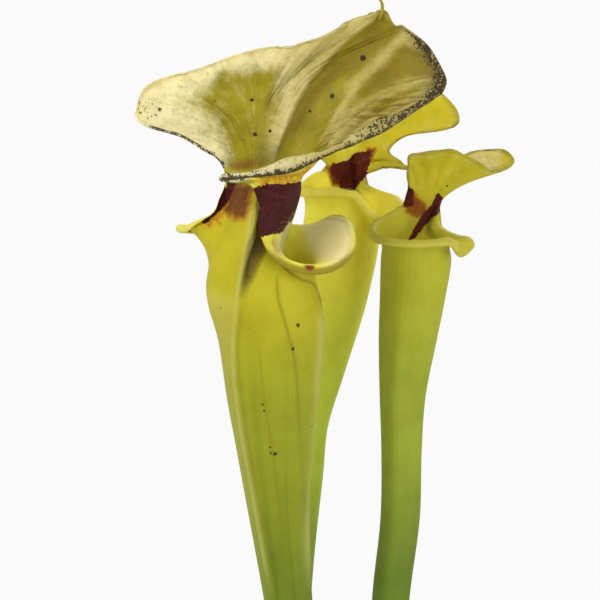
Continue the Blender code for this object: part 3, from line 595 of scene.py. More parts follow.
# Marks on the front leaf, first on its back, then on its inner side: softness of the edge, and outline.
frontMarks = {
    "crumple": (8, [(330, 150), (352, 112), (384, 92), (436, 78), (440, 92), (400, 116), (360, 140)]),
    "bruise": (9, [(410, 18), (432, 46), (450, 78), (442, 104), (420, 120), (392, 134), (400, 121),
                   (420, 105), (430, 90), (431, 74), (422, 52)]),
    "leftTip": (6, [(134, 98), (148, 96), (162, 112), (150, 124), (134, 116)]),
    "oliveLeft": (13, [(231, 172), (226, 146), (213, 118), (196, 100), (222, 72), (278, 68), (276, 112),
                       (272, 140), (262, 170)]),
    "oliveMiddle": (5, [(264, 166), (280, 132), (294, 104), (306, 84), (325, 61), (345, 41), (371, 18),
                        (384, 12), (398, 34), (374, 56), (352, 78), (341, 108), (332, 132), (328, 154)]),
    "oliveRight": (5, [(350, 108), (364, 84), (384, 66), (404, 46), (426, 56), (436, 74), (404, 78),
                       (380, 91)]),
    "oliveFar": (4, [(348, 124), (372, 102), (398, 92), (428, 84), (404, 100), (376, 114)]),
    # painted shade in the valley of the hood's right lobe
    "valley": (5, [(352, 104), (366, 82), (386, 64), (404, 44), (428, 52), (440, 80), (404, 76),
                   (380, 90)]),
    # brown with painted shade at the foot of the hood
    "neck": (9, [(230, 164), (270, 154), (266, 180), (234, 180)]),
    # painted shade in the valley beside the midrib near the hood's top
    "peak": (8, [(330, 66), (352, 44), (374, 24), (396, 24), (398, 36), (372, 56), (350, 78)]),
    "maroon": (3, [(216, 172), (235, 172), (236, 184), (230, 199), (222, 209), (213, 217), (204, 225),
                   (201, 222), (208, 212)]),
    "amber": (8, [(224, 184), (236, 180), (254, 184), (251, 204), (246, 219), (236, 221), (221, 212)]),
    "amberNeck": (5, [(230, 164), (250, 162), (264, 158), (264, 178), (232, 178)]),
    "specks": (6, [(206, 214), (220, 206), (232, 208), (220, 226), (208, 231), (199, 227)]),
    "furl": (8, [(312, 144), (345, 122), (385, 94), (428, 76), (438, 92), (414, 120), (370, 146),
                 (326, 160)]),
    "rust": (7, [(228, 166), (240, 160), (264, 158), (268, 164), (262, 178), (228, 178)]),
    # painted shade with a brown tint at the head of the furrow, below the mouth
    "furrowHead": (1.4, [(256, 198), (260, 204), (261, 240), (252, 262), (249, 252), (253.5, 237),
                         (256, 220)]),
    # a paler facet left of the keel ridge, painted highlight where it faces the light
    "facet": (9, [(212, 290), (234, 300), (231, 340), (233, 380), (241, 430), (252, 490), (262, 560),
                  (268, 600), (250, 600), (205, 300)]),
    "fringe": (2, [(250, 178), (298, 168), (316, 160), (320, 176), (306, 187), (262, 189)]),
    "underHem": (3, [(226, 182), (262, 180), (262, 192), (230, 192)]),
    "flap": (3, [(250, 188), (268, 184), (306, 180), (312, 190), (300, 207), (290, 219), (280, 232),
                 (260, 237)]),
    "pink": (9, [(304, 228), (322, 219), (345, 212), (357, 238), (346, 264), (324, 264), (312, 250)]),
    # painted shade in the corner by the flap's foot
    "corner": (4, [(257, 236), (272, 236), (279, 247), (290, 261), (268, 255), (260, 248)]),
    "fuzz": (2, [(266, 238), (275, 228), (284, 214), (296, 208), (286, 236), (277, 250), (270, 246)]),
}


# Columns or rows of the front view between which a mark fades or where it starts, and shifts beside a line.
frontFades = {"hoodFoot": (164, 176), "onRight": (300, 420), "onLeft": (310, 226), "bleach": (330, 240),
              "dull": (330, 400), "farEnd": 380, "veinFoot": (340, 480), "lowLip": (246, 262),
              "besideKeel": (5, 0), "besideMidrib": (2, 0)}

# Ridges and grooves along the lines: height in millimetres, width, and fade at the ends where it isn't 0.12.
tubeRidges = [("keelRidge", 0.5, 4, 0.03), ("rightEdge", 0.4, 4), ("underLip", -0.25, 2.5),
              ("veinRight", 0.14, 3), ("veinThin", 0.1, 3)]
hoodRidges = [("rightRidge", 1.7, 7), ("farRidge", 1.5, 5), ("leftRidge", 0.9, 8), ("leftInner", 0.5, 6)]

# The furrow beside the keel: how wide and how deep it is at parts of the ridge's length.
furrowLook = {"widthAt": [0, 0.08, 0.19, 0.31, 0.37], "width": [9, 15, 19, 10, 4],
              "depthAt": [0, 0.04, 0.10, 0.19, 0.31, 0.38], "depth": [0, 0.6, 0.9, 1, 0.6, 0], "deepest": 3.0}


def stroke(seen, key, width, fade=0.12):
    return line(seen, frontLines[key], width, fade)


def mark(seen, key):
    soft, outline = frontMarks[key]
    return patch(seen, outline, soft)


def furrowDepth(here, wider=0):
    # a wedge-shaped hollow to the right of the keel ridge, widest just below the mouth
    away, where = fromPath(here["seen"], frontLines["keelRidge"])
    width = np.interp(where, furrowLook["widthAt"], furrowLook["width"])
    depth = np.interp(where, furrowLook["depthAt"], furrowLook["depth"])
    # the path runs down the leaf, so its right-hand side has negative distances
    depth = depth * smoothStep(-1, 3, here["angle"] + 12 * smoothStep(0.08, 0.28, where))
    return depth * smoothStep(0, 3.5, -away) * (1 - smoothStep(width - 6 + wider, width + 1 + wider, -away))


def hoodCreases(seen):
    # wavering creases along the outer ridge of the hood, about eight pixels apart
    away = fromPath(seen, frontLines["farRidge"])[0]
    return np.sin(away * 0.78 + 1.5 * np.sin(seen[..., 0] * 0.06))


# Reliefs and masks read each point's place along the leaf, from -1 at the foot over 0 below the mouth to 4 at
# the free edge, its angle from the keel, and its distance from the edge in millimetres, which is called rim.
def frontRelief(here):
    seen, rim, vein = here["seen"], here["rim"], here["vein"]
    along, angle = here["along"], here["angle"]
    outside = smoothStep(-0.05, 0.25, here["facing"])
    below = 1 - smoothStep(1.6, 2.3, along)
    hood = smoothStep(1.9, 2.5, along) * (1 - smoothStep(36, 50, angle)) * (1 - smoothStep(58, 70, -angle))
    lip = smoothStep(46, 62, np.abs(angle)) * smoothStep(1.5, 2.5, along)
    ribs = np.cos(2 * pi * vein * 2) * 0.05 * smoothStep(0, 6, rim) * (1 - 0.8 * hood)
    tube = sum(height * stroke(seen, key, *shape) for key, height, *shape in tubeRidges)
    tube = tube - furrowLook["deepest"] * furrowDepth(here) * smoothStep(0.3, 0.85, here["facing"])
    # the left half of the hood stands higher than the right one along the midrib
    away, where = fromPath(seen, frontLines["midrib"])
    step = np.where(away < 0, 1.7 * np.exp(away / 26) * smoothStep(1.0, -2.5, away), 0)
    step = step - 1.3 * bump(away, 10, 11) * (away > -2)
    folds = step * smoothStep(0, 0.12, where) * smoothStep(0, 0.10, 1 - where)
    folds = folds + sum(height * stroke(seen, key, *shape) for key, height, *shape in hoodRidges)
    wrinkle = 0.26 * np.sin(vein * 7.1 + 2.1 * np.sin(vein * 1.7) + 0.9 * along)
    wrinkle = wrinkle + 0.16 * np.sin(vein * 13.3 + 3.0 * np.sin(along * 2.3))
    wrinkle = wrinkle * smoothStep(2.5, 3.2, along) * (1 - smoothStep(3.6, 4.0, along))
    wrinkle = wrinkle + 0.48 * mark(seen, "crumple") * hoodCreases(seen) * hood
    wave = 0.45 * np.sin(vein * 4.3 + 0.7) * smoothStep(12, 0, rim)
    groove = 0.2 * bump(rim, 2.0, 0.8) * lip * np.where(angle > 0, 1.0, 0.3)
    return ribs + tube * outside * below + (folds + wrinkle + wave) * hood + groove


def columnOf(here):
    along, angle = here["along"], here["angle"]
    rise = smoothStep(0.45, 0.95, along) * (1 - smoothStep(2.0, 2.35, along))
    return rise * (1 - smoothStep(52, 64, np.abs(angle)))


def plainMasks(shape):
    keys = ("shade_and_brown", "furrow_brown_and_shade", "veins", "pale_and_highlight", "pink", "grit", "rust", "furl", "bruise")
    return {key: np.zeros(shape) for key in keys}


def frontOutside(here, hood, near):
    # the back of the leaf, which faces the viewer
    seen, rim, along = here["seen"], here["rim"], here["along"]
    x, y = seen[..., 0], seen[..., 1]
    tube = 1 - hood
    pastMidrib = smoothStep(-0.8, 1.2, fromPath(seen, frontLines["midrib"])[0])
    olive = np.maximum.reduce([
        mark(seen, "oliveLeft"), mark(seen, "oliveMiddle") * pastMidrib, mark(seen, "oliveRight"),
        0.8 * mark(seen, "oliveFar")])
    olive = olive * (1 - np.maximum(0.75 * stroke(seen, "rightRidge", 5), stroke(seen, "farRidge", 4)))
    dull = 1 - 0.22 * smoothStep(8, 20, rim) - 0.25 * smoothStep(*frontFades["dull"], x)
    cream = np.maximum((1 - olive) * dull, 1 - smoothStep(0.5, 3.5, rim + 2 * (x > frontFades["farEnd"])))
    # painted shade with some brown tint: the hood's foot, its valleys, the dark line beside the midrib, the
    # shade line, the valley near the top and the valleys between the creases
    shade_and_brown = np.maximum.reduce([
        mark(seen, "neck"), 0.8 * mark(seen, "valley"),
        0.5 * stroke(seen - frontFades["besideMidrib"], "midrib", 1.8, 0.3),
        0.75 * stroke(seen, "shade", 6, 0.2), 0.8 * mark(seen, "peak"),
        0.6 * mark(seen, "crumple") * smoothStep(0.2, -0.9, hoodCreases(seen))])
    amber = np.maximum.reduce([
        mark(seen, "amber") * tube * near, 0.5 * mark(seen, "specks") * near,
        0.5 * mark(seen, "amberNeck") * hood])
    # painted shade with a brown tint in the furrow beside the keel, darkest where the hollow is deepest, and
    # at its head below the mouth
    furrow_brown_and_shade = furrowDepth(here, 4) ** 0.5 * smoothStep(-0.6, -0.2, here["facing"])
    furrow_brown_and_shade = np.maximum(furrow_brown_and_shade, 0.8 * mark(seen, "furrowHead") * near)
    # real veins, plus a painted shadow line under the lip roll and a line of painted shade beside the keel
    # ridge
    fainter = 1 - 0.75 * smoothStep(*frontFades["veinFoot"], y)
    veins = 0.55 * fainter * stroke(seen, "veinRight", 1.6, 0.05)
    veins = veins + 0.28 * stroke(seen, "veinThin", 1.3) + 0.75 * stroke(seen, "underLip", 1.2)
    veins = veins + 0.3 * line(seen - frontFades["besideKeel"], frontLines["keelRidge"][3:], 2.2)
    # paler ridges with painted highlight where light catches them: the keel ridge and its head, a facet left
    # of the keel and the wing along the right edge
    pale_and_highlight = np.maximum.reduce([
        0.9 * stroke(seen, "throatRidge", 1.5), 0.8 * stroke(seen, "keelRidge", 2.4, 0.03),
        0.45 * mark(seen, "facet"), 0.8 * stroke(seen, "rightEdge", 4)])
    return {
        "cream": hood * cream, "shade_and_brown": hood * shade_and_brown, "amber": amber, "furrow_brown_and_shade": furrow_brown_and_shade * tube,
        "maroon": np.maximum(mark(seen, "maroon") * tube, (1 - near) * columnOf(here)),
        "furl": hood * mark(seen, "furl"), "rust": 0.5 * hood * mark(seen, "rust"),
        "veins": veins * near * (1 - smoothStep(0.5, 1.2, along)), "pale_and_highlight": pale_and_highlight * near * tube,
    }


def frontInside(here, hood, near):
    seen, rim, along, angle = here["seen"], here["rim"], here["along"], here["angle"]
    rolled = smoothStep(3.9, 4.02, along)
    fringe = mark(seen, "fringe") * near * (1 - rolled)
    hood = hood * (1 - fringe)
    cream = hood * np.maximum(0.5, np.maximum(rolled, 1 - smoothStep(2, 9, rim)))
    flap = mark(seen, "flap") * smoothStep(0.3, 0.6, along) * near
    seam = stroke(seen, "seam", 3.5) * near
    lip = smoothStep(46, 62, np.abs(angle))
    lowLip = smoothStep(*frontFades["lowLip"], seen[..., 1])
    # painted shade on the rolled band of the lip and below its crest on the low, near part
    lipShade = 0.8 * smoothStep(3.95, 4.12, along) + 0.8 * lowLip * smoothStep(3.3, 3.8, along)
    # paler lip edge and seam, partly painted highlight along their crests
    pale_and_highlight = 0.9 * bump(rim, 0.8, 0.8) * lip * (along < 4.05) * (1 - lowLip) + 0.8 * seam
    return {
        "hood": hood, "cream": cream * (1 - 0.9 * mark(seen, "underHem") * (1 - rolled)),
        "maroon": np.maximum(columnOf(here) * (1 - near), flap),
        "amber": (0.5 * fringe + 0.3 * stroke(seen, "flecks", 3) * near) * (1 - rolled),
        # painted shade in the same dark brown on the inner side along the keel, low in the tube
        "furrow_brown_and_shade": bump(angle, 0, 30) ** 0.5 * (1 - smoothStep(1.0, 1.4, along)),
        "pink": np.maximum(mark(seen, "pink") * near, 0.6 * seam) * (1 - rolled),
        # painted shade in the corner by the flap's foot and on the lip's roll
        "shade_and_brown": 0.35 * mark(seen, "corner") * near + lip * (angle > 0) * lipShade,
        "pale_and_highlight": np.maximum(pale_and_highlight, 0.9 * smoothStep(3.0, 3.6, along) * (angle < -62)),
    }


def frontMasks(here, side):
    seen, rim, along, angle = (here[key] for key in ("seen", "rim", "along", "angle"))
    x, y = seen[..., 0], seen[..., 1]
    near = smoothStep(-0.1, 0.15, -here["facing"] if side else here["facing"])
    hood = smoothStep(1.7, 2.2, along) * (1 - smoothStep(35, 39, angle)) * (1 - smoothStep(56, 66, -angle))
    hood = hood * (1 - (angle < 0) * smoothStep(*frontFades["hoodFoot"], y))
    bruise = 0.85 * mark(seen, "bruise")
    edge = bump(along, 4.02, 0.075) * smoothStep(2, 8, angle) * (1 - smoothStep(35, 39, angle))
    leftEdge = np.maximum(bump(along, 4.0, 0.16), 0.75 * smoothStep(1.8, 0, rim)) * smoothStep(32, 38, -angle)
    onRight = smoothStep(*frontFades["onRight"], x)
    onLeft = smoothStep(*frontFades["onLeft"], x)
    hem = smoothStep(3 + 3 * onRight, 0, rim) * smoothStep(3, 8, angle) * (0.35 + 0.45 * onRight)
    hemTip = 0.6 * bump(along, 4.02, 0.4) * smoothStep(2, 8, angle) * onLeft
    leftTip = 0.45 * mark(seen, "leftTip")
    grit = np.maximum.reduce([0.8 * bruise, 1.1 * edge, leftEdge, hem, hemTip, leftTip])
    found = plainMasks(along.shape)
    found["hood"] = hood
    found["bleach"] = hood * smoothStep(*frontFades["bleach"], x)
    found["bruise"] = hood * np.maximum.reduce([bruise, 0.7 * edge, 0.7 * hem * onRight, 0.2 * hemTip])
    found.update(frontInside(here, hood, near) if side else frontOutside(here, hood, near))
    redSpot = 1.3 * stroke(seen, "redSpot", 3.6, 0.3) * smoothStep(3.0, 3.4, along) * (angle > 60)
    found["rust"] = np.maximum(found["rust"], redSpot)
    found["fuzz"] = mark(seen, "fuzz") * near * side * smoothStep(0.2, 0.5, along)
    found["grit"] = grit * found["hood"]
    return found


def backRelief(here):
    hood = smoothStep(1.9, 2.5, here["along"]) * (1 - smoothStep(40, 55, np.abs(here["angle"])))
    ribs = np.cos(2 * pi * here["vein"] * 2) * 0.05 * smoothStep(0, 6, here["rim"])
    wrinkle = 0.22 * np.sin(here["vein"] * 5.3 + 0.9 * here["along"]) * smoothStep(2.4, 3.4, here["along"])
    return ribs + wrinkle * hood


# Outlines of marks on the two leaves behind, and how soft their edges are.
middleMarks = {
    "maroon": [[(331, 164), (346, 160), (356, 153), (370, 150), (371, 160), (368, 172), (360, 183),
                (354, 192), (340, 190), (338, 180), (331, 173)]],
    "amber": [[(326, 168), (334, 162), (342, 186), (332, 186)],
              [(366, 148), (376, 148), (374, 158), (366, 166)]],
    "bleached": [],
}
rightMarks = {
    "maroon": [[(446, 208), (436, 214), (424, 228), (409, 243), (407, 241), (413, 229), (421, 216),
                (432, 202), (438, 192), (442, 196)],
               [(408, 186), (414, 190), (412, 200), (414, 206), (404, 208)]],
    "amber": [[(403, 196), (414, 192), (422, 201), (428, 208), (418, 218), (406, 212)]],
    "bleached": [[(458, 146), (502, 144), (502, 176), (480, 174), (470, 166), (462, 156)]],
}
backSoft = {"maroon": 3, "amber": 4, "bleached": 5}


def backMasks(marks):
    def masks(here, side):
        seen, rim, along, angle = (here[key] for key in ("seen", "rim", "along", "angle"))
        near = smoothStep(-0.1, 0.15, -here["facing"] if side else here["facing"])
        aside = np.abs(angle)

        def patches(key):
            none = np.zeros(along.shape)
            return np.maximum.reduce([none] + [patch(seen, outline, backSoft[key]) for outline in marks[key]])

        above = smoothStep(0.2, 0.6, along)
        hood = smoothStep(1.8, 2.4, along) * (1 - smoothStep(48, 60, aside))
        column = smoothStep(0.45, 0.95, along) * (1 - smoothStep(1.9, 2.4, along))
        column = column * (1 - smoothStep(46, 60, aside)) * (1 - near) * (0.6 + 0.4 * side)
        bleached = 0.7 * patches("bleached") * smoothStep(-1, -4, angle)
        found = plainMasks(along.shape)
        found.update({
            # darker brown near the hood's edge
            "hood": hood, "bleach": hood, "shade_and_brown": 0.35 * hood * smoothStep(0.7, 0, rim),
            "maroon": np.maximum(patches("maroon") * near * above, column),
            "amber": patches("amber") * near * above,
            # paler lip edge, partly painted highlight
            "pale_and_highlight": 0.5 * smoothStep(3.0, 0.5, rim) * smoothStep(40, 60, aside),
            "cream": np.maximum(0.25 * smoothStep(4, 0, rim), bleached) * hood,
        })
        return found
    return masks


class Painter:
    # short names for the nodes that colour a leaf, and the noises that its marks share
    def __init__(self, tree, look):
        self.tree = tree
        self.place = addNode(tree, "ShaderNodeTexCoord").outputs["Object"]
        self.broad = self.grain(self.place, look["broad"])
        self.fine = self.grain(self.place, look["fine"])
        # streaks follow the veins of the leaf
        flat = addNode(tree, "ShaderNodeUVMap", uv_map="leafMap").outputs[0]
        flat = addNode(tree, "ShaderNodeMapping", [("Vector", flat), ("Scale", look["streaks"])]).outputs[0]
        self.streak = self.grain(flat, 1.0, 5.0, 0.65)
        self.pink = self.attribute("pink")

    def attribute(self, key):
        return addNode(self.tree, "ShaderNodeAttribute", attribute_name=key).outputs["Fac"]

    def mix(self, factor, low, high, kind="MIX"):
        inputs = [(0, factor), (6, low), (7, high)]
        return addNode(self.tree, "ShaderNodeMix", inputs, data_type="RGBA", blend_type=kind).outputs[2]

    def spread(self, value, low, high, start=0.0, end=1.0):
        return smoothRange(self.tree, value, low, high, start, end)

    def times(self, first, second):
        return maths(self.tree, "MULTIPLY", first, second)

    def plus(self, first, second):
        return maths(self.tree, "ADD", first, second)

    def swing(self, value, middle, amount):
        return self.times(maths(self.tree, "SUBTRACT", value, middle), amount)

    def grain(self, vector, scale, detail=4.0, rough=0.6):
        inputs = [("Vector", vector), ("Scale", scale), ("Detail", detail), ("Roughness", rough)]
        return addNode(self.tree, "ShaderNodeTexNoise", inputs).outputs["Fac"]


def tubeColour(paint, look):
    attribute, mix, spread, times = paint.attribute, paint.mix, paint.spread, paint.times
    height = addNode(paint.tree, "ShaderNodeSeparateXYZ", [(0, paint.place)]).outputs["Z"]
    colour = mix(spread(height, look["lowAt"], look["midAt"]), look["low"], look["mid"])
    colour = mix(spread(height, look["midAt"], look["topAt"]), colour, look["top"])
    colour = mix(times(attribute("inner"), 0.85), colour, look["throat"])
    colour = mix(spread(paint.broad, 0.35, 0.7), colour, mix(1.0, colour, look["mottle"], "MULTIPLY"))
    colour = mix(paint.pink, colour, look["pink"])
    # painted shade with a brown tint in the furrow beside the keel
    colour = mix(attribute("furrow_brown_and_shade"), colour, look["furrow_brown_and_shade"])
    # veins, and the painted shadow under the lip roll and painted shade beside the keel ridge
    colour = mix(times(attribute("veins"), 0.8), colour, look["vein"])
    # pale colour with painted highlight on ridges, the wing and the lip edges
    return mix(times(attribute("pale_and_highlight"), 0.5), colour, look["pale_and_highlight"])


def hoodColour(paint, look):
    # olive, with cream where it has faded
    attribute, mix, spread, times, plus = paint.attribute, paint.mix, paint.spread, paint.times, paint.plus
    streak, fine, bleach = paint.streak, paint.fine, attribute("bleach")
    cream = mix(bleach, look["cream"], look["creamLight"])
    cream = mix(spread(streak, 0.42, 0.70, 0.0, 0.75), cream, mix(bleach, look["creamDark"], look["cream"]))
    cream = mix(spread(fine, 0.52, 0.70, 0.0, 0.5), cream, look["creamGrey"])
    hood = mix(spread(paint.broad, 0.3, 0.7), look["hood"], look["hoodDark"])
    hood = mix(spread(streak, 0.45, 0.70, 0.0, 0.16), hood, look["hoodLight"])
    blotch = paint.grain(paint.place, look["blotch"], 5.0, 0.7)
    ragged = plus(attribute("cream"), paint.swing(streak, 0.53, 1.3))
    ragged = plus(ragged, paint.swing(blotch, 0.56, 1.3))
    hood = mix(spread(ragged, -0.15, 1.05), hood, cream)
    # brown streaks on the furled part of the hood, in the same colour as the painted shade
    hood = mix(times(attribute("furl"), spread(streak, 0.38, 0.52, 0.8, 0.0)), hood, look["shade_and_brown"])
    return mix(times(attribute("bruise"), spread(fine, 0.3, 0.6, 0.55, 0.95)), hood, look["bruise"])


def stainedAndShadedColour(paint, look, colour):
    # stains with ragged edges, painted shade with a brown tint, then dark specks and single spots
    attribute, mix, spread, times, plus = paint.attribute, paint.mix, paint.spread, paint.times, paint.plus
    place = paint.place
    stir = paint.swing(paint.grain(place, look["stir"], 6.0, 0.75), 0.5, 1.6)
    stir = plus(stir, paint.swing(paint.streak, 0.5, 0.7))
    amber = plus(attribute("amber"), times(stir, 0.8))
    colour = mix(spread(amber, 0.15, 0.6, 0.0, 0.85), colour, look["orange"])
    colour = mix(spread(amber, 0.45, 1.0), colour, look["amber"])
    # painted shade with a brown tint in valleys, creases, the corner by the flap and on the lip's roll
    colour = mix(times(attribute("shade_and_brown"), 0.8), colour, look["shade_and_brown"])
    colour = mix(spread(plus(attribute("rust"), times(stir, 0.5)), 0.2, 0.8), colour, look["rust"])
    red = mix(spread(paint.fine, 0.3, 0.7), look["maroon"], look["maroonDark"])
    colour = mix(spread(plus(attribute("maroon"), stir), 0.38, 0.62), colour, red)
    small, large = (paint.grain(place, scale, 3.0) for scale in look["specks"])
    speck = plus(plus(times(small, 0.65), times(large, 0.35)), times(attribute("grit"), 0.31))
    colour = mix(spread(speck, 0.67, 0.75, 0.0, 0.92), colour, look["grit"])
    for spot, radius in look["spots"]:
        gap = addNode(paint.tree, "ShaderNodeVectorMath", [(0, place), (1, spot)], operation="DISTANCE")
        uneven = plus(gap.outputs["Value"], paint.swing(speck, 0.5, 0.0012))
        colour = mix(spread(uneven, radius * 0.75, radius * 1.2, 1.0, 0.0), colour, look["grit"])
    return colour


def leafMaterial(name, look):
    material, tree, shader = nodeMaterial(name, Roughness=look["rough"], Specular_IOR_Level=look["shine"])
    paint = Painter(tree, look)
    colour = paint.mix(paint.attribute("hood"), tubeColour(paint, look), hoodColour(paint, look))
    colour = stainedAndShadedColour(paint, look, colour)
    plug(tree, shader.inputs["Base Color"], colour)
    relief = [("Distance", look["relief"]), ("Strength", look["strength"]), ("Height", paint.fine)]
    plug(tree, shader.inputs["Normal"], addNode(tree, "ShaderNodeBump", relief).outputs[0])
    # light that comes through the thin wall
    through = paint.mix(paint.pink, look["through"], look["throughPink"])
    through = paint.mix(1.0, colour, through, "MULTIPLY")
    glow = addNode(tree, "ShaderNodeBsdfTranslucent", [("Color", through)]).outputs[0]
    share = paint.plus(look["glow"], paint.times(paint.pink, 0.05))
    blend = addNode(tree, "ShaderNodeMixShader", [(0, share), (1, shader.outputs[0]), (2, glow)])
    plug(tree, tree.nodes["Material Output"].inputs["Surface"], blend.outputs[0])
    return material


# Looks of the leaves. The low, middle and top colour of the tube lie at the heights that follow them, and
# broad to streaks are scales of noise.
frontLook = {
    "low": (0.19, 0.26, 0.016), "mid": (0.33, 0.36, 0.016), "top": (0.56, 0.50, 0.016),
    "lowAt": 0.30, "midAt": 0.36, "topAt": 0.42,
    "throat": (0.92, 0.88, 0.08), "mottle": (0.90, 0.88, 0.75), "pink": (0.96, 0.86, 0.44),
    # the furrow colour is brown with painted shade, the vein colour also paints the shadow under the lip roll
    # and the shade beside the keel, and the pale colour is pale ridge colour with painted highlight
    "furrow_brown_and_shade": (0.105, 0.062, 0.008), "vein": (0.14, 0.10, 0.01), "pale_and_highlight": (0.66, 0.62, 0.20),
    "hood": (0.37, 0.31, 0.010), "hoodDark": (0.26, 0.215, 0.008), "hoodLight": (0.55, 0.48, 0.07),
    "cream": (0.66, 0.56, 0.20), "creamDark": (0.46, 0.38, 0.07), "creamGrey": (0.46, 0.40, 0.20),
    "creamLight": (0.90, 0.83, 0.50), "bruise": (0.10, 0.085, 0.045),
    # the brown colour paints shade in valleys, creases and under the lip, with a brown tint
    "orange": (0.50, 0.21, 0.006), "amber": (0.17, 0.052, 0.004), "shade_and_brown": (0.20, 0.13, 0.01),
    "maroon": (0.085, 0.008, 0.006), "maroonDark": (0.035, 0.004, 0.004), "rust": (0.26, 0.05, 0.012),
    "grit": (0.04, 0.022, 0.005),
    "broad": 90.0, "fine": 700.0, "blotch": 240.0, "stir": 520.0, "specks": (1300.0, 420.0),
    "streaks": (170.0, 14.0, 1.0),
    "through": (1.0, 0.95, 0.5), "throughPink": (1.0, 1.0, 0.9), "glow": 0.32,
    "rough": 0.5, "shine": 0.16, "relief": 0.0002, "strength": 0.4,
}
middleLook = dict(frontLook, **{
    "low": (0.35, 0.48, 0.06), "mid": (0.64, 0.76, 0.07), "top": (0.90, 0.88, 0.09),
    "hood": (0.66, 0.58, 0.02), "hoodDark": (0.56, 0.50, 0.02), "throat": (0.88, 0.80, 0.09),
    "maroon": (0.15, 0.02, 0.008), "maroonDark": (0.08, 0.012, 0.006), "glow": 0.45,
})
rightLook = dict(middleLook, **{
    "low": (0.20, 0.29, 0.03), "mid": (0.42, 0.50, 0.045), "top": (0.57, 0.57, 0.04),
    "hood": (0.67, 0.62, 0.035), "throat": (0.68, 0.62, 0.05), "amber": (0.34, 0.11, 0.012),
})

# Single dark spots: their place in the front view and their radius in millimetres.
frontSpots = [
    (363, 58, 1.0), (332, 96, 0.85), (255, 135, 1.1), (270, 131, 0.6), (243, 140, 0.5), (252, 100, 0.6),
    (310, 111, 0.5), (325, 125, 0.45), (402, 77, 0.5), (159, 110, 1.0), (155, 115, 0.8), (215, 101, 0.6),
    (297, 325, 1.0), (263, 404, 0.8), (271, 452, 0.8), (275, 454, 0.6), (277, 490, 0.6), (265, 383, 0.5),
    (285, 383, 0.45), (313, 427, 0.7), (320, 416, 0.5), (319, 275, 0.6), (293, 349, 0.6), (299, 330, 0.5),
    (250, 276, 0.35), (244, 269, 0.3), (268, 262, 0.35), (221, 260, 0.35), (220, 308, 0.35), (249, 329, 0.3),
    (270, 447, 0.35), (277, 458, 0.35), (272, 461, 0.4), (276, 476, 0.3), (264, 411, 0.3), (337, 219, 0.7),
]
rightSpots = [(441, 189, 0.6), (437, 196, 0.5), (447, 186, 0.4), (444, 194, 0.35), (329, 201, 0.3)]
spotReach = {"pixels": 7, "depth": 0.002}


def spotPlaces(skin, marks):
    # the nearest point to the viewer that is seen at each mark
    points = np.empty(len(skin.data.vertices) * 3)
    skin.data.vertices.foreach_get("co", points)
    points = points.reshape(-1, 3)
    seen = frontView(points)
    found = []
    for x, y, radius in marks:
        gap = np.hypot(seen[:, 0] - x, seen[:, 1] - y)
        close = np.where(gap < spotReach["pixels"])[0]
        if len(close):
            first = points[close, 1].min()
            best = min((i for i in close if points[i, 1] < first + spotReach["depth"]), key=lambda i: gap[i])
            across, up = (x - seen[best, 0]) / cameraLook["scale"], (seen[best, 1] - y) / cameraLook["scale"]
            found.append((tuple(points[best] + (across, 0, up)), radius * mm))
    return found


def makeLeaf(name, leaf, look, relief, masks, marks=()):
    skin = leafShell(name, leaf, relief, masks)
    look = dict(look, spots=spotPlaces(skin, marks))
    skin.data.materials.append(leafMaterial(name + " skin", look))
    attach(skin, "root")
    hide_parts(name)
    print(name, len(skin.data.polygons), flush=True)
    return skin


frontSkin = makeLeaf("pitcher_front", frontLeaf, frontLook, frontRelief, frontMasks, frontSpots)
makeLeaf("pitcher_middle", middleLeaf, middleLook, backRelief, backMasks(middleMarks))
makeLeaf("pitcher_right", rightLeaf, rightLook, backRelief, backMasks(rightMarks), rightSpots)


# The hood's tip ends in a thin curled point.
tendrilLook = {
    "path": [(38.6, 6.2, 72.8), (39.6, 6.0, 76.0), (39.4, 6.0, 78.6), (38.0, 6.2, 80.2), (36.4, 6.5, 81.0),
             (35.4, 6.8, 81.1)],
    "thick": 0.75, "thin": 0.12, "sides": 12, "masks": {"hood": 1.0, "cream": 0.15, "bleach": 0.3},
}


def makeTendril(look, material):
    path = spline(look["path"], 8) + np.array(frontLeaf["place"])
    ahead = unit(np.gradient(path, axis=0))
    side = unit(np.cross(ahead, (0.0, 1.0, 0.0)))
    up = np.cross(side, ahead)
    radius = look["thin"] + (look["thick"] - look["thin"]) * (1 - np.linspace(0, 1, len(path))) ** 1.2
    build = bmesh.new()
    rings = [[build.verts.new((path[k] + radius[k] * (cos(t) * side[k] + sin(t) * up[k])) * mm)
              for t in turnsOf(look["sides"])] for k in range(len(path))]
    closeRings(build, rings)
    bmesh.ops.recalc_face_normals(build, faces=build.faces)
    mesh = meshFrom(build, "hood_point")
    for name, value in look["masks"].items():
        store(mesh, name, np.full(len(mesh.vertices), value))
    mesh.uv_layers.new(name="leafMap")
    mesh.shade_smooth()
    point = addObject("hood_point", mesh, material)
    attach(point, "root")
    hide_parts("pitcher_front")


makeTendril(tendrilLook, frontSkin.data.materials[0])


grainLook = {"detail": 6.0, "stops": (0.35, 0.68)}


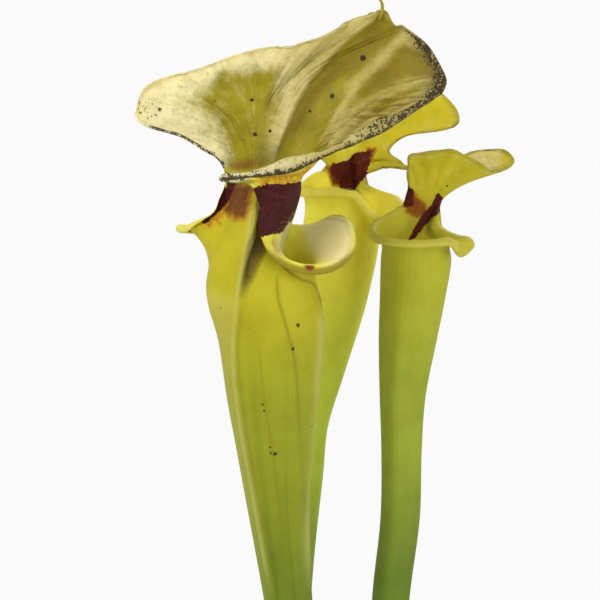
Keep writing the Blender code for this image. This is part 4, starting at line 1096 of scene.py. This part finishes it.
def grainMaterial(name, look):
    # two colours stirred by noise of the first scale, and fine relief of the second
    material, tree, shader = nodeMaterial(name, Roughness=look["rough"], Specular_IOR_Level=look["shine"])
    place = addNode(tree, "ShaderNodeTexCoord").outputs["Object"]
    common = [("Vector", place), ("Detail", grainLook["detail"])]
    stir, lumps = (addNode(tree, "ShaderNodeTexNoise", common + [("Scale", scale)]).outputs["Fac"]
                   for scale in look["scales"])
    ramp = addNode(tree, "ShaderNodeValToRGB", [(0, stir)])
    for element, position, colour in zip(ramp.color_ramp.elements, grainLook["stops"], look["colours"]):
        element.position = position
        element.color = (*colour, 1)
    plug(tree, shader.inputs["Base Color"], ramp.outputs[0])
    lift = addNode(tree, "ShaderNodeBump", [("Distance", look["relief"]), ("Height", lumps)])
    plug(tree, shader.inputs["Normal"], lift.outputs[0])
    return material


# Pot: a plain turned nursery pot with a thickened rim and drain holes, in millimetres. Points of its profile
# are steps from the base, from the rim's lower and upper corner and from the edge of the mouth.
potLook = {
    "height": 110.0, "top": 62.0, "base": 46.0, "wall": 2.2, "floor": 3.0, "rim": 14.0, "proud": 2.2,
    "foot": [(-12, 0.0), (-11, 0.9), (-4.2, 0.9), (-3.4, 0.0), (-1.2, 0.0), (-0.3, 0.5)],
    "rimFoot": [(-1.9, -0.2), (-0.7, 0.0), (-0.15, 0.4), (0.0, 1.2)],
    "rimTop": [(-0.1, -1.6), (-0.3, -0.6), (-1.0, -0.1), (-1.8, 0.0)],
    "mouth": [(1.2, 0.0), (0.4, -0.3), (0.0, -1.1)],
    "outerLevels": (2, 20, 40, 60, 80), "innerLevels": (96, 70, 40, 10, 5),
    "axis": 1.0, "underRim": 1.2, "corner": 2.0,
    "sides": 168, "drains": 6, "drain": 4.5, "ring": 30.0, "drainSides": 40,
    "plastic": {"colours": ((0.006, 0.006, 0.007), (0.012, 0.012, 0.013)), "scales": (60.0, 1800.0),
                "rough": 0.38, "shine": 0.35, "relief": 0.00012},
}


def potRadius(height):
    return potLook["base"] + (potLook["top"] - potLook["base"]) * height / potLook["height"]


def makePot(look):
    high, low = look["height"], look["height"] - look["rim"]
    axis, inside = look["axis"], look["top"] - look["wall"]
    rimFoot, rimTop = potRadius(low) + look["proud"], look["top"] + look["proud"]
    profile = [(axis, 0.0)] + [(look["base"] + x, z) for x, z in look["foot"]]
    profile += [(potRadius(z), z) for z in (*look["outerLevels"], low - look["underRim"])]
    profile += [(rimFoot + x, low + z) for x, z in look["rimFoot"]]
    profile += [(rimTop + x, high + z) for x, z in look["rimTop"]]
    profile += [(inside + x, high + z) for x, z in look["mouth"]]
    profile += [(potRadius(z) - look["wall"], z) for z in look["innerLevels"]]
    corner = potRadius(look["floor"]) - look["wall"] - look["corner"]
    profile += [(corner, look["floor"]), (axis, look["floor"])]
    build = bmesh.new()
    closeRings(build, [levelRing(build, radius, height, look["sides"]) for radius, height in profile])
    bmesh.ops.recalc_face_normals(build, faces=build.faces)
    pot = addObject("pot_skin", meshFrom(build, "pot"))
    holes = bmesh.new()
    drain, ring = look["drain"] * mm, look["ring"] * mm
    for turn in turnsOf(look["drains"]):
        made = bmesh.ops.create_cone(holes, cap_ends=True, segments=look["drainSides"], radius1=drain,
                                     radius2=drain, depth=4 * look["floor"] * mm)
        centre = (ring * cos(turn), ring * sin(turn), look["floor"] / 2 * mm)
        bmesh.ops.translate(holes, verts=made["verts"], vec=centre)
    drains = addObject("drains", meshFrom(holes, "drains"))
    cut = pot.modifiers.new("Drains", "BOOLEAN")
    cut.object = drains
    bpy.context.view_layer.update()
    done = bpy.data.meshes.new_from_object(pot.evaluated_get(bpy.context.evaluated_depsgraph_get()))
    pot.modifiers.clear()
    pot.data = done
    bpy.data.objects.remove(drains, do_unlink=True)
    done.materials.append(grainMaterial("Pot plastic", look["plastic"]))
    done.shade_smooth()
    done.set_sharp_from_angle(angle=radians(40))
    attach(pot, "root")
    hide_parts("pot")


makePot(potLook)
print("pot ready", flush=True)


# Potting mix: a lumpy surface with crumbs of peat, grains of perlite and tufts of moss, in millimetres.
soilLook = {
    "level": 99.0, "crown": 1.5, "sunk": 0.4, "lump": 0.9, "lumps": 0.16, "ripple": 0.25, "ripples": 1.1,
    "highest": 1.9, "gap": 0.3, "rings": 90, "sides": 240,
    # levels of the sides below, and how far they stay inside the pot
    "below": ((70.0, 0.35), (3.4, 2.15)),
    "mix": {"colours": ((0.020, 0.012, 0.007), (0.085, 0.052, 0.030)), "scales": (420.0, 900.0),
            "rough": 0.95, "shine": 0.1, "relief": 0.0006},
}
soilEdge = potRadius(soilLook["level"]) - potLook["wall"] - soilLook["gap"]


def soilHeight(x, y, look=soilLook):
    radius = (x * x + y * y) ** 0.5
    lumps, ripples = look["lumps"], look["ripples"]
    height = look["level"] + look["crown"] * (1 - (radius / soilEdge) ** 2) - look["sunk"]
    height += look["lump"] * noise.fractal((x * lumps, y * lumps, 3.1), 1.0, 2.0, 5)
    height += look["ripple"] * noise.noise((x * ripples, y * ripples, 7.7))
    return min(height, look["level"] + look["highest"])


def makeSoil(look):
    build = bmesh.new()
    sides = look["sides"]
    rings = []
    for i in range(1, look["rings"] + 1):
        radius = soilEdge * i / look["rings"]
        places = [(radius * cos(t), radius * sin(t)) for t in turnsOf(sides)]
        rings.append([build.verts.new((x * mm, y * mm, soilHeight(x, y) * mm)) for x, y in places])
    centre = build.verts.new((0, 0, soilHeight(0, 0) * mm))
    for j in range(sides):
        build.faces.new((centre, rings[0][j], rings[0][(j + 1) % sides]))
    rings += [levelRing(build, potRadius(height) - potLook["wall"] - gap, height, sides)
              for height, gap in look["below"]]
    for low, high in zip(rings, rings[1:]):
        for j in range(sides):
            k = (j + 1) % sides
            build.faces.new((low[j], high[j], high[k], low[k]))
    build.faces.new(rings[-1][::-1])
    bmesh.ops.recalc_face_normals(build, faces=build.faces)
    mesh = meshFrom(build, "soil")
    mesh.shade_smooth()
    soil = addObject("soil_skin", mesh, grainMaterial("Potting mix", look["mix"]))
    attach(soil, "root")
    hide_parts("soil")
    return soil


soil = makeSoil(soilLook)
print("soil ready", flush=True)


def floatSocket(sockets):
    return next(socket for socket in sockets if socket.type == "VALUE")


def scatterTree(name, look):
    # sets copies of one small mesh on chosen faces of the ground, and makes them real
    tree = bpy.data.node_groups.new(name, "GeometryNodeTree")
    kinds = {"Geometry": "Geometry", "Density": "Float", "Seed": "Int", "Smallest": "Float",
             "Largest": "Float", "Patchiness": "Float", "Copy": "Object", "Material": "Material"}
    for label, kind in kinds.items():
        tree.interface.new_socket(label, in_out="INPUT", socket_type="NodeSocket" + kind)
    tree.interface.new_socket("Geometry", in_out="OUTPUT", socket_type="NodeSocketGeometry")
    enter = addNode(tree, "NodeGroupInput").outputs
    place = addNode(tree, "GeometryNodeInputPosition").outputs[0]
    height = addNode(tree, "ShaderNodeSeparateXYZ", [(0, place)]).outputs["Z"]
    stir = addNode(tree, "ShaderNodeTexNoise", [("Vector", place), ("Scale", look["patchScale"])])
    gate = maths(tree, "GREATER_THAN", stir.outputs["Fac"], enter["Patchiness"])
    if look["mask"]:
        mask = addNode(tree, "GeometryNodeInputNamedAttribute", [("Name", look["mask"])], data_type="FLOAT")
        gate = maths(tree, "GREATER_THAN", floatSocket(mask.outputs), 0.5)
    chosen = maths(tree, "MULTIPLY", maths(tree, "GREATER_THAN", height, look["above"]), gate)
    inputs = [("Mesh", enter["Geometry"]), ("Selection", chosen), ("Density", enter["Density"]),
              ("Seed", enter["Seed"])]
    points = addNode(tree, "GeometryNodeDistributePointsOnFaces", inputs).outputs
    shape = addNode(tree, "GeometryNodeObjectInfo", [("Object", enter["Copy"])]).outputs["Geometry"]
    inputs = [("Min", look["turnLow"]), ("Max", look["turnHigh"])]
    turn = addNode(tree, "FunctionNodeRandomValue", inputs, data_type="FLOAT_VECTOR").outputs[0]
    size = addNode(tree, "FunctionNodeRandomValue", data_type="FLOAT")
    for label, limit in (("Min", "Smallest"), ("Max", "Largest")):
        plug(tree, floatSocket(socket for socket in size.inputs if socket.name == label), enter[limit])
    if look["follow"]:
        inputs = [("Rotation", points["Rotation"]), ("Rotate By", turn)]
        turn = addNode(tree, "FunctionNodeRotateRotation", inputs, rotation_space="LOCAL").outputs[0]
    inputs = [("Points", points["Points"]), ("Instance", shape), ("Rotation", turn),
              ("Scale", floatSocket(size.outputs))]
    copies = addNode(tree, "GeometryNodeInstanceOnPoints", inputs).outputs[0]
    real = addNode(tree, "GeometryNodeRealizeInstances", [(0, copies)]).outputs[0]
    paint = addNode(tree, "GeometryNodeSetMaterial", [("Geometry", real), ("Material", enter["Material"])])
    addNode(tree, "NodeGroupOutput", [(0, paint.outputs[0])])
    return tree


def scatterOn(name, ground, source, look, material, node):
    carrier = addObject(name + "_carrier", ground.data.copy())
    modifier = carrier.modifiers.new(name, "NODES")
    modifier.node_group = scatterTree(name, look)
    values = {"Density": look["density"], "Seed": look["seed"], "Smallest": look["smallest"],
              "Largest": look["largest"], "Patchiness": look["patch"], "Copy": source, "Material": material}
    for item in modifier.node_group.interface.items_tree:
        if item.in_out == "INPUT" and item.name in values:
            modifier[item.identifier] = values[item.name]
    carrier.update_tag()
    bpy.context.view_layer.update()
    mesh = bpy.data.meshes.new_from_object(carrier.evaluated_get(bpy.context.evaluated_depsgraph_get()))
    bpy.data.objects.remove(carrier, do_unlink=True)
    mesh.name = name
    piece = addObject(name, mesh)
    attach(piece, "root")
    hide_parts(node)
    print(name, len(mesh.polygons), flush=True)


def smallShape(name, make, look):
    build = bmesh.new()
    make(build, look)
    mesh = meshFrom(build, name)
    mesh.shade_smooth()
    item = addObject(name, mesh)
    item.hide_render = True
    return item


def crumbShape(build, look):
    bmesh.ops.create_icosphere(build, subdivisions=2, radius=look["radius"])
    for vert in build.verts:
        rough = 1 + 0.45 * noise.noise(vert.co * 1400.0) + 0.25 * noise.noise(vert.co * 3200.0)
        vert.co = vert.co * rough
        vert.co.z *= look["flat"]


def shootShape(build, look):
    # a short shoot with narrow pointed leaves all round, turned by the golden angle
    for k in range(look["leaves"]):
        turn = k * look["turn"]
        length = look["leaf"] * (1 - look["shorter"] * k)
        out = Vector((cos(turn), sin(turn), 0))
        side = Vector((-sin(turn), cos(turn), 0)) * look["half"]
        start = Vector((0, 0, look["rise"] * k))
        tip = start + out * length * (look["out"] - look["closer"] * k) + Vector((0, 0, length * look["up"]))
        below = start + out * look["thick"] + Vector((0, 0, -look["under"]))
        a, b, c, d = (build.verts.new(corner) for corner in (start - side, start + side, below, tip))
        for corners in ((a, b, d), (b, c, d), (c, a, d), (b, a, c)):
            build.faces.new(corners)
    bmesh.ops.recalc_face_normals(build, faces=build.faces)


def hairShape(build, look):
    rings = []
    for k in range(look["rings"]):
        t = k / (look["rings"] - 1)
        radius = look["radius"] * (1 - 0.85 * t)
        middle = Vector((look["bend"] * t * t, 0, look["length"] * t))
        rings.append([build.verts.new(middle + radius * Vector((cos(turn), sin(turn), 0)))
                      for turn in turnsOf(look["sides"])])
    closeRings(build, rings)


def softMaterial(name, look):
    material, tree, shader = nodeMaterial(name, Roughness=look["rough"])
    place = addNode(tree, "ShaderNodeTexCoord").outputs["Object"]
    stir = addNode(tree, "ShaderNodeTexNoise", [("Vector", place), ("Scale", look["scale"])]).outputs["Fac"]
    inputs = [(0, stir), (6, look["low"]), (7, look["high"])]
    colour = addNode(tree, "ShaderNodeMix", inputs, data_type="RGBA")
    plug(tree, shader.inputs["Base Color"], colour.outputs[2])
    return material


# What lies on the mix: faces above this height, in metres, get copies, turned between two limits.
groundLook = {"above": 0.0955, "patchScale": 60.0, "follow": False, "mask": "", "patch": 0.0,
              "turnLow": (0.0, 0.0, 0.0), "turnHigh": (6.28, 6.28, 6.28)}
peatLook = dict(groundLook, density=90000.0, seed=3, smallest=0.5, largest=1.5)
peatGrain = {"colours": ((0.018, 0.010, 0.006), (0.11, 0.065, 0.035)), "scales": (150.0, 2500.0),
             "rough": 0.95, "shine": 0.1, "relief": 0.0002}
perliteLook = dict(groundLook, density=7000.0, seed=11, smallest=0.8, largest=2.0)
perliteGrain = {"colours": ((0.62, 0.60, 0.56), (0.82, 0.81, 0.78)), "scales": (300.0, 2500.0),
                "rough": 0.9, "shine": 0.2, "relief": 0.0003}
mossLook = dict(groundLook, density=240000.0, seed=5, smallest=0.7, largest=1.35, patch=0.53,
                turnLow=(-0.25, -0.25, 0.0), turnHigh=(0.25, 0.25, 6.28))
mossGreen = {"low": (0.055, 0.10, 0.012), "high": (0.20, 0.27, 0.04), "scale": 160.0, "rough": 0.7}
crumbLook = {"radius": 0.001, "flat": 0.7}
shootLook = {"leaves": 16, "turn": 2.399963, "rise": 0.00024, "leaf": 0.0017, "shorter": 0.02,
             "half": 0.00026, "thick": 0.00012, "under": 0.0003, "out": 0.75, "closer": 0.012, "up": 1.1}

crumb = smallShape("crumb", crumbShape, crumbLook)
shoot = smallShape("shoot", shootShape, shootLook)
scatterOn("peat_crumbs", soil, crumb, peatLook, grainMaterial("Peat", peatGrain), "soil")
scatterOn("perlite", soil, crumb, perliteLook, grainMaterial("Perlite", perliteGrain), "soil")
scatterOn("moss", soil, shoot, mossLook, softMaterial("Moss", mossGreen), "soil")


# Rhizome: a woody stem with rings of old leaf scars, in millimetres.
rhizomeLook = {
    "centre": (1.5, 4.0, 97.5), "half": (29.0, 19.0, 12.5), "around": 180, "levels": 90,
    "scars": 15.0, "scar": 0.5, "lump": 0.7, "sunk": 0.55, "rough": 0.45,
    "bark": {"colours": ((0.085, 0.035, 0.018), (0.27, 0.135, 0.060)), "scales": (260.0, 1400.0),
             "rough": 0.75, "shine": 0.25, "relief": 0.0004},
}


def makeRhizome(look):
    build = bmesh.new()
    bmesh.ops.create_uvsphere(build, u_segments=look["around"], v_segments=look["levels"], radius=1.0)
    for vert in build.verts:
        x, y, z = vert.co
        lumps = look["lump"] * (sin(9 * x + 1.0) + 0.7 * sin(5 * y + 7 * z)) * (1 - z * z)
        bend = look["scars"] * (x + 0.10 * sin(3 * y) + 0.05 * noise.noise((3 * x, 3 * y, 3 * z)))
        ring = look["scar"] * abs(sin(bend)) ** 0.6
        rough = look["rough"] * noise.fractal((x * 9, y * 9, z * 9), 1.0, 2.0, 4)
        grow = lumps - look["sunk"] + ring + rough
        vert.co = [(value * (half + grow) + shift) * mm
                   for value, half, shift in zip((x, y, z), look["half"], look["centre"])]
    mesh = meshFrom(build, "rhizome")
    mesh.shade_smooth()
    rhizome = addObject("rhizome_skin", mesh, grainMaterial("Rhizome skin", look["bark"]))
    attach(rhizome, "root")
    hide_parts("rhizome")


makeRhizome(rhizomeLook)
print("rhizome ready", flush=True)


# Fine pale hairs on the inner side of the column, above this height in metres.
hairsLook = dict(groundLook, above=0.3, follow=True, mask="fuzz", density=1800000.0, seed=21, smallest=0.35,
                 largest=0.8, turnLow=(-0.7, -0.7, 0.0), turnHigh=(0.7, 0.7, 6.28))
hairLook = {"rings": 5, "sides": 3, "radius": 0.00004, "bend": 0.00035, "length": 0.0011}
hairPale = {"low": (0.62, 0.34, 0.22), "high": (0.80, 0.62, 0.42), "scale": 160.0, "rough": 0.7}
hair = smallShape("hair", hairShape, hairLook)
hairSkin = softMaterial("Hair", hairPale)
scatterOn("column_hairs", frontSkin, hair, hairsLook, hairSkin, "pitcher_front")
for item in (crumb, shoot, hair):
    bpy.data.objects.remove(item, do_unlink=True)
print("scatter ready", flush=True)
